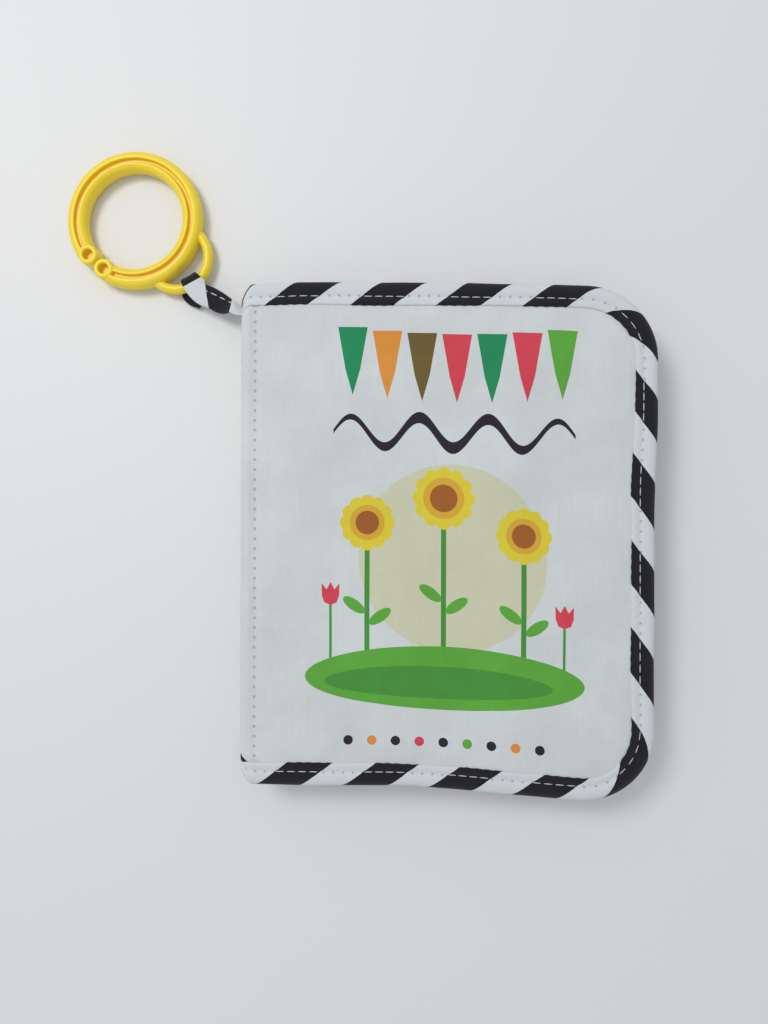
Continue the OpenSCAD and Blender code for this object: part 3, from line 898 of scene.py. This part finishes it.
def edge_wander(s, seed):
    """Slow unevenness of hand-guided sewing."""
    slow = np.sin(s / 27.0 + seed * 3) * 0.6
    return np.sin(s / 11.0 + seed) * 0.5 + np.sin(s / 4.7 + 2.1 * seed) * 0.3 + slow


def sweep_binding(name, stations, seed, flat_side=None):
    """stations: (s, place, outward, normal, width share). flat_side clamps z for what lies on the table."""
    section, across = binding_section()
    rings = []
    for s, place, outward, normal, share in stations:
        pull = 0.5 + 0.5 * math.cos(math.tau * s / STITCH_PITCH)
        wander = float(edge_wander(s, seed))
        w = section[:, 0] * share
        h = section[:, 1].copy()
        near_groove = np.exp(-((section[:, 0] - SEAM_OUT) / 0.9) ** 2)
        h -= np.sign(h) * near_groove * 0.16 * pull
        near_lip = np.exp(-section[:, 0] / 1.2)
        w = w + near_lip * (0.22 * wander - 0.16 * pull)
        near_roll = np.exp(-((section[:, 0] - BINDING_W) / 1.6) ** 2)
        w = w + near_roll * 0.16 * float(edge_wander(s * 1.3, seed + 5))
        h = h * (1 + 0.05 * float(edge_wander(s * 0.9, seed + 9)))
        ring = place + np.outer(w, outward) + np.outer(h, normal)
        if flat_side is not None:
            ring[:, 2] = np.maximum(ring[:, 2], flat_side)
        rings.append(ring)
    along = [station[0] for station in stations]
    obj = tape_mesh(name, rings, along, [stripe_turns(s) for s in along], across, binding_cotton)
    face_outwards(obj)
    return obj


# %% [markdown]
# ### Path round a cover
# The path follows the binding's inner edge: along the head, round the fore corner, down the fore
# edge, round the other corner and back along the tail. At both ends the same tape goes on over
# the hinge and round the spine's fold to its middle, where the tape of the other cover meets it.
# There the tape's outward direction is along the spine, and the fold draws the end in, which
# rounds the book's corner.

# %% Stations along the cover's edge
TAPE_STEP, FOLD_STEP = 0.7, 0.5
INNER_R = CORNER_R - BINDING_W
HEAD_LEN = X_FORE - CORNER_R - X_HINGE
FORE_LEN = 2 * (Y_HEAD - CORNER_R)
BEND_LEN = math.pi / 2 * INNER_R
EDGE_LEN = 2 * HEAD_LEN + 2 * BEND_LEN + FORE_LEN


def edge_place(s):
    """Place on the inner edge and the direction outward, at distance s from the hinge at the head."""
    if s > EDGE_LEN / 2:
        place, outward = edge_place(EDGE_LEN - s)
        return place * np.array([1, -1]), outward * np.array([1, -1])
    if s < HEAD_LEN:
        return np.array([X_HINGE + s, Y_HEAD - BINDING_W]), np.array([0.0, 1.0])
    if s < HEAD_LEN + BEND_LEN:
        a = math.pi / 2 - (s - HEAD_LEN) / INNER_R
        outward = np.array([math.cos(a), math.sin(a)])
        return np.array([X_FORE - CORNER_R, Y_HEAD - CORNER_R]) + INNER_R * outward, outward
    down = s - HEAD_LEN - BEND_LEN
    return np.array([X_FORE - BINDING_W, Y_HEAD - CORNER_R - down]), np.array([1.0, 0.0])


FOLD_REACH = X_HINGE - X_FLAT_CLOTH + WRAP_LEN


def fold_station(reach, side):
    """The tape at a distance round the fold from the hinge, at the head (side 1) or the tail (side -1)."""
    x, z, out, _ = fold_curve(np.array([X_HINGE - reach]))
    drop = float(spine_end_drop(np.array(reach)))
    lip = side * (Y_HEAD - BINDING_W - LIP_DROP_SHARE * drop)
    middle = np.array([x[0], lip, z[0]]) - out[0] * COVER_T / 2
    normal = out[0] * (1 - 0.2 * float(smoothstep(reach / 4)))
    s = -reach if side > 0 else EDGE_LEN + reach
    return s, middle, np.array([0.0, side, 0.0]), normal, 1 - (1 - LIP_DROP_SHARE) * drop / BINDING_W


def cover_station(s):
    place, outward = edge_place(s)
    return s, np.array([place[0], place[1], MID_Z]), np.append(outward, 0.0), np.array([0.0, 0.0, 1.0]), 1.0


def tape_stations(is_front):
    count, fold_count = int(EDGE_LEN / TAPE_STEP), int(FOLD_REACH / FOLD_STEP)
    reaches = [FOLD_REACH * (i + 1) / fold_count for i in range(fold_count)]
    stations = [fold_station(reach, 1) for reach in reversed(reaches)]
    stations += [cover_station(EDGE_LEN * i / count) for i in range(count + 1)]
    stations += [fold_station(reach, -1) for reach in reaches]
    if is_front:
        return [(s, skewed(place[None])[0], *rest) for s, place, *rest in stations]
    over = np.array([1.0, 1.0, -1.0])
    return [(s, place * over + (0, 0, BOOK_T), outward, normal * over, share)
            for s, place, outward, normal, share in stations]


front_stations = tape_stations(True)
back_stations = tape_stations(False)
front_binding = sweep_binding("front_binding_tape", front_stations, 1.0)
back_binding = sweep_binding("back_binding_tape", back_stations, 1.0, flat_side=ON_TABLE)

# %% [markdown]
# ## The leaves
# Six padded cloth leaves are sewn into the spine. Each is a closed cushion a little thinner at
# its edge, cut square at the spine and round at the fore edge, and no two lie quite alike. The
# first and last leaf carry a clear pocket for a print, sewn on along its border.

# %% Leaves and pockets
LEAF_COUNT = 6
LEAF_GAP = 0.3
LEAF_R = 19.0
FILM_R = 9.0
FILM_GAP = 0.12


def soft_leaves():
    height = pages_high[2] - pages_low[2]
    pitch = (height + LEAF_GAP) / LEAF_COUNT
    all_points, all_faces, first = [], [], 0
    shake = np.random.default_rng(11)
    for i in range(LEAF_COUNT):
        x1 = pages_high[0] - shake.uniform(0, 1.4)
        half_h = pages_high[1] - shake.uniform(0, 0.9)
        border = rounded_outline(pages_low[0], x1, half_h, LEAF_R, 1.6)
        ring_1 = rounded_outline(pages_low[0] + 0.5, x1 - 0.5, half_h - 0.5, LEAF_R - 0.5, 1.6)
        ring_2 = rounded_outline(pages_low[0] + 1.4, x1 - 1.4, half_h - 1.4, LEAF_R - 1.4, 1.8)
        flat, faces = triangulate(border, [("ring", ring_1), ("ring", ring_2)], 3.0)
        x, y = flat[:, 0], flat[:, 1]
        inward = edge_distance(x, y, x1, half_h, LEAF_R)
        half_t = (pitch - LEAF_GAP) / 2 * np.sqrt(np.clip(inward / 1.3, 0.03, 1.0))
        half_t -= 0.10 * np.exp(-((inward - 3.5) / 1.0) ** 2)
        middle = pages_low[2] + pitch * (i + 0.5) - LEAF_GAP / 2
        sag = 0.10 * np.sin(y / 21 + i) * smoothstep((x - X_HINGE) / 60)
        points = np.vstack([np.stack([x, y, middle + sag + side * half_t], -1) for side in (1, -1)])
        count = len(flat)
        all_faces += shell_faces(faces, count, first)
        all_points.append(points)
        first += 2 * count
    leaves = mesh_object("cloth_leaves", np.vstack(all_points), all_faces)
    leaves.data.materials.append(leaf_cotton)
    return leaves


def pocket_film(name, z, up):
    x0, x1, half_h = film_low[0], film_high[0], film_high[1]
    border = rounded_outline(x0, x1, half_h, FILM_R, 2.5)
    flat, faces = triangulate(border, [], 3.5)
    x, y = flat[:, 0], flat[:, 1]
    inward = np.minimum(edge_distance(x, y, x1, half_h, FILM_R), x - x0)
    lift_mm = 0.12 * smoothstep(inward / 10) * (0.5 + 0.5 * np.sin(x / 17) * np.cos(y / 23))
    points = np.stack([x, y, z + up * lift_mm], axis=-1)
    faces = [tuple(f) if up > 0 else tuple(f[::-1]) for f in faces]
    film = mesh_object(name, points, faces)
    film.data.materials.append(film_vinyl)
    return film


leaves = soft_leaves()
first_film = pocket_film("first_leaf_pocket_film", film_low[2] + FILM_GAP, 1)
last_film = pocket_film("last_leaf_pocket_film", pages_low[2] - FILM_GAP, -1)
print("leaves", len(leaves.data.polygons), "faces")

# %% [markdown]
# ## The link ring
# The ring is one moulding: a grooved C that nearly closes between two round ends, and a D-shaped
# eye outside it for the tie. Moulded plastic has no sharp inner corners where shapes meet, so
# the parts are made as separate closed shapes, fused by a voxel remesh and smoothed a little,
# which leaves a small fillet at every joint.

# %% Ring shapes
RING_C = np.array(ring_bore["pos_m"][:2]) / MM
RING_BORE_R = ring_bore["dims"]["r_mm"]
RING_R = RING_C[0] - ring_low[0]
RING_T = 7.2
RIM_R = 2.4
GROOVE_R, GROOVE_W, GROOVE_D = 21.9, 1.6, 1.6
SPLIT_ANGLE, SPLIT_SPAN = math.radians(228), math.radians(21.5)
END_R, END_HOLE_R, END_HOLE_D = 3.75, 1.95, 3.0
EYE_C = joint_mm("ring_swivel")
EYE_R, BAR_HALF_W, BAR_HALF_H = 11.9, 1.85, 1.9
EYE_START, EYE_STOP = math.radians(-136), math.radians(53)
BODY_OVERLAP = 0.10
VOXEL_MM = 0.21
ARC_STEPS = 7


def rounded_profile(x0, x1, z0, z1, r):
    points = []
    left, right, low, high = x0 + r, x1 - r, z0 + r, z1 - r
    for cx, cz, start in ((left, low, 180), (right, low, 270), (right, high, 0), (left, high, 90)):
        for k in range(ARC_STEPS + 1):
            a = math.radians(start + 90 * k / ARC_STEPS)
            points.append((cx + r * math.cos(a), cz + r * math.sin(a)))
    return points


def ring_profile():
    """Rounded section with the groove let into its upper side."""
    body = rounded_profile(RING_BORE_R, RING_R, 0.02, RING_T, RIM_R)
    cut_at = 3 * (ARC_STEPS + 1)
    outer, inner, bevel = GROOVE_R + GROOVE_W / 2, GROOVE_R - GROOVE_W / 2, 0.25
    groove = [(outer + bevel, RING_T), (outer, RING_T - bevel), (outer, RING_T - GROOVE_D),
              (inner, RING_T - GROOVE_D), (inner, RING_T - bevel), (inner - bevel, RING_T)]
    return body[:cut_at] + groove + body[cut_at:]


def revolve(bm, profile, centre, a0, a1, steps):
    rings = []
    closed = abs(a1 - a0 - math.tau) < 1e-6
    for i in range(steps if closed else steps + 1):
        a = a0 + (a1 - a0) * i / steps
        rings.append([bm.verts.new((centre[0] + r * math.cos(a), centre[1] + r * math.sin(a), z))
                      for r, z in profile])
    pairs = list(zip(rings, rings[1:] + (rings[:1] if closed else [])))
    for one, other in pairs:
        for k in range(len(profile)):
            m = (k + 1) % len(profile)
            bm.faces.new((one[k], other[k], other[m], one[m]))
    if not closed:
        bm.faces.new(rings[0])
        bm.faces.new(list(reversed(rings[-1])))


def cup_profile(z0, z1):
    """Half section of a round end, from the axis out, with a dimple in its top."""
    return [(0.001, z0), (END_R - 0.6, z0), (END_R - 0.15, z0 + 0.3), (END_R, z0 + 1.0), (END_R, z1 - 0.7),
            (END_R - 0.25, z1 - 0.2), (END_R - 0.8, z1), (END_HOLE_R + 0.35, z1), (END_HOLE_R, z1 - 0.4),
            (END_HOLE_R - 0.1, z1 - END_HOLE_D), (0.001, z1 - END_HOLE_D)]


def moulded_ring():
    bm = bmesh.new()
    middle_r = (RING_R + RING_BORE_R) / 2 - 0.4
    ends = [SPLIT_ANGLE + side * SPLIT_SPAN / 2 for side in (1, -1)]
    spots = [RING_C + middle_r * np.array([math.cos(angle), math.sin(angle)]) for angle in ends]
    revolve(bm, ring_profile(), RING_C, ends[0] + BODY_OVERLAP,
            ends[1] + math.tau - BODY_OVERLAP, 220)
    for spot in spots:
        revolve(bm, cup_profile(0.3, RING_T + 0.3), spot, 0, math.tau, 40)
    bar = [(EYE_R + BAR_HALF_W * math.cos(t), RING_T / 2 + BAR_HALF_H * math.sin(t))
           for t in np.linspace(0, math.tau, 20, endpoint=False)]
    revolve(bm, bar, EYE_C[:2], EYE_START, EYE_STOP, 90)
    bmesh.ops.recalc_face_normals(bm, faces=bm.faces)
    mesh = bpy.data.meshes.new("link_ring_moulding")
    bm.to_mesh(mesh)
    bm.free()
    ring = linked_object("link_ring_moulding", mesh)
    remesh = ring.modifiers.new("fuse", "REMESH")
    remesh.mode = "VOXEL"
    remesh.voxel_size = VOXEL_MM
    smooth = ring.modifiers.new("fillet", "SMOOTH")
    smooth.factor = 0.5
    smooth.iterations = 6
    fused = applied_mesh(ring)
    ring.modifiers.clear()
    ring.data = fused
    points = np.empty(len(fused.vertices) * 3)
    fused.vertices.foreach_get("co", points)
    fused.vertices.foreach_set("co", points * MM)
    fused.update()
    fused.shade_smooth()
    fused.materials.clear()
    fused.materials.append(yellow_plastic)
    fused.materials.append(groove_painted_shade_plastic)
    # The bottom of the groove and of the two cups takes the deeper yellow: painted shade in these hollows
    middles = np.empty(len(fused.polygons) * 3)
    fused.polygons.foreach_get("center", middles)
    middles = middles.reshape(-1, 3) / MM
    radius = np.hypot(middles[:, 0] - RING_C[0], middles[:, 1] - RING_C[1])
    painted_shade_faces = (np.abs(radius - GROOVE_R) < GROOVE_W / 2 + 0.15) & (middles[:, 2] < RING_T - 0.45)
    painted_shade_faces &= middles[:, 2] > RING_T - GROOVE_D - 0.4
    for spot in spots:
        off = np.hypot(middles[:, 0] - spot[0], middles[:, 1] - spot[1])
        painted_shade_faces = np.where(off < END_R, (off < END_HOLE_R + 0.2) & (middles[:, 2] < RING_T - 0.6)
                        & (middles[:, 2] > 2.0), painted_shade_faces)
    fused.polygons.foreach_set("material_index", painted_shade_faces.astype(int))
    print("ring", len(fused.polygons), "faces,", int(painted_shade_faces.sum()), "in the groove")
    return ring


ring = moulded_ring()

# %% [markdown]
# ## The tie
# The tie is a length of the same striped tape. It leaves the spine, twists once, lies flat,
# goes over the eye's bar and comes back underneath itself, where it is sewn down. The ribbon is
# laid through a few given stations, each with a place, a direction across the tape and a width,
# with a smooth curve through them.

# %% Twisted ribbon
# Place, direction across the tape, and width, from the spine to the tucked end
TIE_STATIONS = [
    ((-71.6, 80.6, 10.0), (0.05, -0.30, 0.95), 6.5),
    ((-74.2, 80.9, 9.9), (0.05, -0.45, 0.89), 6.4),
    ((-76.4, 81.9, 9.4), (-0.05, -0.66, 0.72), 6.0),
    ((-78.6, 83.6, 8.6), (-0.10, -0.90, 0.40), 5.6),
    ((-81.7, 85.0, 7.4), (-0.05, -0.99, 0.08), 7.6),
    ((-85.3, 86.7, 6.7), (0.05, -1.00, 0.0), 9.0),
    ((-88.4, 88.3, 6.5), (0.15, -0.98, 0.0), 9.3),
    ((-91.3, 90.3, 6.4), (-0.45, -0.89, 0.0), 8.6),
    ((-93.6, 93.0, 6.5), (-0.86, -0.50, 0.0), 7.8),
    ((-95.2, 95.1, 6.0), (-0.90, -0.44, 0.0), 6.8),
    ((-95.7, 96.3, 3.6), (-0.86, -0.50, 0.0), 5.0),
    ((-95.5, 95.0, 1.3), (-0.90, -0.44, 0.0), 6.2),
    ((-96.2, 92.0, 0.9), (-0.90, -0.44, 0.0), 7.6),
    ((-94.6, 90.0, 1.0), (-0.65, -0.76, 0.0), 8.2),
    ((-91.5, 88.8, 1.8), (-0.25, -0.97, 0.0), 8.2),
]
# Where the tape is dark, counted in stations
TIE_DARK = [(3.05, 6.0), (8.2, 10.6), (11.3, 15.0)]
TIE_HALF_T = 0.55


def tie_turns(t):
    marks, turns = stripe_marks(TIE_DARK)
    return float(np.interp(t, [marks[0] - 3.2] + marks, [DARK_SHARE - 0.99] + turns))


def catmull(values, t):
    i = min(int(t), len(values) - 2)
    f = t - i
    p = [values[max(0, min(len(values) - 1, i + k))] for k in (-1, 0, 1, 2)]
    w = cubic_weights(np.array(f))
    return sum(w[k] * p[k] for k in range(4))


def tie_ribbon(steps=150):
    places = np.array([s[0] for s in TIE_STATIONS])
    acrosses = np.array([s[1] for s in TIE_STATIONS])
    widths = np.array([s[2] for s in TIE_STATIONS])
    ts = np.linspace(0, len(TIE_STATIONS) - 1, steps)
    centres = np.array([catmull(places, t) for t in ts])
    tangents = np.gradient(centres, axis=0)
    tangents /= np.linalg.norm(tangents, axis=1)[:, None]
    along = np.concatenate([[0], np.cumsum(np.linalg.norm(np.diff(centres, axis=0), axis=1))])
    shares = np.linspace(-1, 1, 15)
    rings = []
    for k, t in enumerate(ts):
        across = catmull(acrosses, t)
        across /= np.linalg.norm(across)
        normal = np.cross(tangents[k], across)
        normal /= np.linalg.norm(normal)
        half_w = catmull(widths, t) / 2
        groove = np.exp(-((shares - 0.55) / 0.12) ** 2)
        swell = TIE_HALF_T * (0.55 + 0.45 * np.sqrt(np.clip(1 - shares ** 6, 0, 1))) - 0.14 * groove
        curl = 0.35 * shares ** 2 * math.sin(along[k] / 4.0)
        middle = centres[k] + np.outer(shares * half_w, across)
        top, low = middle + np.outer(swell + curl, normal), middle + np.outer(-swell + curl, normal)
        rings.append(np.vstack([top, low[::-1]]))
    across_mm = np.concatenate([shares * 4.5, 10 + shares * 4.5])
    ribbon = tape_mesh("striped_tie_ribbon", rings, along, [tie_turns(t) for t in ts], across_mm, tie_cotton)
    face_outwards(ribbon)
    print(f"tie {along[-1]:.0f} mm long")
    return ribbon, along[-1], rings


tie, tie_len, tie_rings = tie_ribbon()

# %% [markdown]
# ## Stitches
# Every seam is a row of running stitches, so one Geometry Nodes tree makes them all. It takes
# lines that carry the direction out of the cloth, puts a point every stitch pitch, and sets one
# small ellipsoid of thread on each, long way along the seam. The ends dip into the cloth, as
# real stitches do. One object holds all the stitches of one kind of seam on one body.

# %% Stitch tree


def stitch_tree():
    tree = bpy.data.node_groups.new("running_stitches", "GeometryNodeTree")
    kinds = {"Geometry": "Geometry", "Pitch": "Float", "Length": "Float", "Width": "Float",
             "Height": "Float", "Thread": "Material"}
    sockets = {}
    for name, kind in kinds.items():
        socket = tree.interface.new_socket(name, in_out="INPUT", socket_type="NodeSocket" + kind)
        sockets[name] = socket.identifier
    tree.interface.new_socket("Geometry", in_out="OUTPUT", socket_type="NodeSocketGeometry")
    inputs = add_node(tree, "NodeGroupInput")
    line = add_node(tree, "GeometryNodeMeshToCurve", Mesh=inputs.outputs["Geometry"])
    spots = add_node(tree, "GeometryNodeCurveToPoints", {"mode": "LENGTH"},
                     Curve=line.outputs[0], Length=inputs.outputs["Pitch"])
    up = add_node(tree, "GeometryNodeInputNamedAttribute", {"data_type": "FLOAT_VECTOR"}, Name="stitch_up")
    turn = add_node(tree, "FunctionNodeAxesToRotation", {"primary_axis": "Z", "secondary_axis": "X"},
                    i0=up.outputs["Attribute"], i1=spots.outputs["Tangent"])
    ball = add_node(tree, "GeometryNodeMeshUVSphere", Segments=8, Rings=6, Radius=0.5)
    size = add_node(tree, "ShaderNodeCombineXYZ", X=inputs.outputs["Length"], Y=inputs.outputs["Width"],
                    Z=inputs.outputs["Height"])
    shaped = add_node(tree, "GeometryNodeTransform", Geometry=ball.outputs[0], Scale=size.outputs[0])
    placed = add_node(tree, "GeometryNodeInstanceOnPoints", Points=spots.outputs["Points"],
                      Instance=shaped.outputs[0], Rotation=turn.outputs[0])
    real = add_node(tree, "GeometryNodeRealizeInstances", i0=placed.outputs[0])
    smooth = add_node(tree, "GeometryNodeSetShadeSmooth", i0=real.outputs[0])
    coloured = add_node(tree, "GeometryNodeSetMaterial", Geometry=smooth.outputs[0],
                        Material=inputs.outputs["Thread"])
    add_node(tree, "NodeGroupOutput", i0=coloured.outputs[0])
    return tree, sockets


running_stitches, stitch_sockets = stitch_tree()


def stitch_rows(name, rows, length=3.2, width=0.36, height=0.3):
    """rows: lists of (place, out direction) in millimetres."""
    points, ups, edges = [], [], []
    for row in rows:
        first = len(points)
        points += [place for place, _ in row]
        ups += [up for _, up in row]
        edges += [(first + i, first + i + 1) for i in range(len(row) - 1)]
    mesh = bpy.data.meshes.new(name)
    mesh.from_pydata([tuple(p) for p in np.array(points) * MM], edges, [])
    attribute = mesh.attributes.new("stitch_up", "FLOAT_VECTOR", "POINT")
    attribute.data.foreach_set("vector", np.array(ups, dtype=float).ravel())
    obj = linked_object(name, mesh)
    modifier = obj.modifiers.new("stitches", "NODES")
    modifier.node_group = running_stitches
    values = {"Pitch": STITCH_PITCH * MM, "Length": length * MM, "Width": width * MM, "Height": height * MM,
              "Thread": thread}
    for key, value in values.items():
        modifier[stitch_sockets[key]] = value
    made = applied_mesh(obj)
    obj.modifiers.clear()
    obj.data = made
    print(name, len(made.polygons) // 48, "stitches")
    return obj


# %% [markdown]
# ### Rows on the bindings, the pockets and the tie
# A row on the binding runs 2.8 mm out from its lip. The thread is pale: it shows on the dark
# stripes, and on white cloth only its needle holes do, which the material draws as dots of painted
# shade. So a row is laid piece by piece, one piece on each dark stripe, on the cover and round the spine's ends.

# %% Lay the rows
SEAM_HIGH = 1.47
HINGE_CLEAR = 2.0
HALF_STITCH = 1.6
POCKET_INSET = 1.6
POCKET_SEAM_GAP = 0.18
# The tie's seam: its first and last ring of points, and its place in a ring
TIE_SEAM_RINGS = (34, 66)
TIE_SEAM_POINT = 4


def dark_rows(stations, on_cover):
    """Rows in the groove of a swept binding, one for each dark stripe."""
    rows, row = [], []
    for s, place, outward, normal, share in stations:
        past_hinge = max(-s, s - EDGE_LEN)
        over_spine = HINGE_CLEAR < past_hinge < FOLD_REACH - 1
        wanted = past_hinge < -HINGE_CLEAR if on_cover else over_spine
        if wanted and is_dark(s - HALF_STITCH) and is_dark(s + HALF_STITCH):
            row.append((place + outward * SEAM_OUT * share + normal * SEAM_HIGH, normal))
        elif row:
            rows.append(row)
            row = []
    return [row for row in rows + [row] if len(row) > 2]


def pocket_row(z, up):
    line = rounded_outline(film_low[0] + POCKET_INSET, film_high[0] - POCKET_INSET,
                           film_high[1] - POCKET_INSET, FILM_R - 1.0, 1.5)
    return [((x, y, z), (0, 0, up)) for x, y in line]


def tie_row():
    row = []
    for ring_points in tie_rings[slice(*TIE_SEAM_RINGS)]:
        edge, opposite = ring_points[TIE_SEAM_POINT], ring_points[-1 - TIE_SEAM_POINT]
        up = edge - opposite
        if up[2] < 0:
            edge, up = opposite, -up
        row.append((edge, up / np.linalg.norm(up)))
    return row


front_stitches = stitch_rows("front_binding_stitches", dark_rows(front_stations, True))
back_stitches = stitch_rows("back_binding_stitches", dark_rows(back_stations, True))
spine_rows = dark_rows(front_stations, False) + dark_rows(back_stations, False)
pocket_rows = [pocket_row(film_low[2] + POCKET_SEAM_GAP, 1), pocket_row(pages_low[2] - POCKET_SEAM_GAP, -1)]
pocket_stitches = stitch_rows("pocket_stitches", pocket_rows, width=0.4, height=0.2)
tie_stitches = stitch_rows("tie_stitches", [tie_row()], length=3.0, width=0.4, height=0.26)

# %% [markdown]
# ## Tell the frame what moves with what
# A cover's cloth and binding cross a hinge; their placement is only baked into their meshes, and
# they ride no body. The other pieces ride their bodies. Each piece hides the CAD solids that it stands for.


def across_hinge(piece):
    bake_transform(piece)


across_hinge(front_cloth)
across_hinge(back_cloth)
across_hinge(front_binding)
across_hinge(back_binding)
print_nodes = [node for node in frame["nodes"] if node.startswith("print_")]
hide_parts("front_cover", *print_nodes)
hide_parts("back_cover", "spine")
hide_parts("front_binding", "front_binding_stripes", "spine_head_binding")
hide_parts("back_binding", "back_binding_stripes", "spine_tail_binding")

RIDES = [
    (leaves, "block", "page_cloth", ["pages"]),
    (first_film, "block", "pocket_film", ["first_page_pocket"]),
    (last_film, "block", "pocket_film", ["last_page_pocket"]),
    (tie, "block", "binding_white", ["tie_tape", "tie_stripes"]),
    (ring, "ring", "ring_plastic", ["link_ring"]),
    (front_stitches, "front", "stitch_thread", []),
    (back_stitches, "back", "stitch_thread", []),
    (pocket_stitches, "block", "stitch_thread", []),
    (tie_stitches, "block", "stitch_thread", []),
]
if spine_rows:
    RIDES.append((stitch_rows("spine_end_stitches", spine_rows), "block", "stitch_thread", []))
for piece, body, slot, nodes in RIDES:
    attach(piece, body)
    if nodes:
        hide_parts(*nodes)

# %% [markdown]
# ## Table, light and camera
# The table is a plain pale surface. The light is a bright, even room with one soft lamp to the
# upper left, which leaves a soft shadow to the right and below. The camera stands where the
# photograph was taken from, almost straight above, with the lens of a phone.

# %% Table
TABLE_HALF = 1500.0


def table_top():
    material, tree = new_material("pale_table_laminate")
    cloudy = yarn_noise(tree, object_coords(tree), (3.0, 3.0, 3.0))
    colour = mixed(tree, cloudy, linear("#E3E4E4"), linear("#E7E7E7"))
    finish_material(tree, Base_Color=colour, Roughness=0.55)
    corners = [(x * TABLE_HALF, y * TABLE_HALF, 0) for x, y in ((-1, -1), (1, -1), (1, 1), (-1, 1))]
    table = mesh_object("table_top", corners, [(0, 1, 2, 3)], smooth=False)
    table.data.materials.append(material)


table_top()

# %% Light and camera
LAMP_PLACE = (-0.42, 0.38, 0.80)
LAMP_SIZE = 0.3
LAMP_POWER = 3.4
ROOM_STRENGTH = 0.62
CAMERA_MM = (-3.5, 7.0, 298.6)
CAMERA_TURN = (0.17, 3.64, 0.12)
LENS_MM = 28.0


def lights():
    lamp = bpy.data.lights.new("soft_window", "AREA")
    lamp.shape = "SQUARE"
    lamp.size = LAMP_SIZE
    lamp.energy = LAMP_POWER
    lamp.color = (1.0, 0.985, 0.96)
    holder = linked_object("soft_window", lamp)
    holder.location = LAMP_PLACE
    aim = Vector((0, 0, 0)) - Vector(LAMP_PLACE)
    holder.rotation_euler = aim.to_track_quat("-Z", "Y").to_euler()
    world = bpy.data.worlds.new("pale_room")
    world.use_nodes = True
    background = world.node_tree.nodes["Background"]
    background.inputs["Color"].default_value = linear("#F9FBFF")
    background.inputs["Strength"].default_value = ROOM_STRENGTH
    bpy.context.scene.world = world


def photo_camera():
    data = bpy.data.cameras.new("photo_camera")
    data.sensor_fit = "VERTICAL"
    data.sensor_height = 36.0
    data.lens = LENS_MM
    data.clip_start = 0.01
    camera = linked_object("photo_camera", data)
    camera.location = [v * MM for v in CAMERA_MM]
    camera.rotation_euler = [math.radians(v) for v in CAMERA_TURN]
    bpy.context.scene.camera = camera


lights()
photo_camera()
bpy.context.scene.view_settings.view_transform = "Standard"
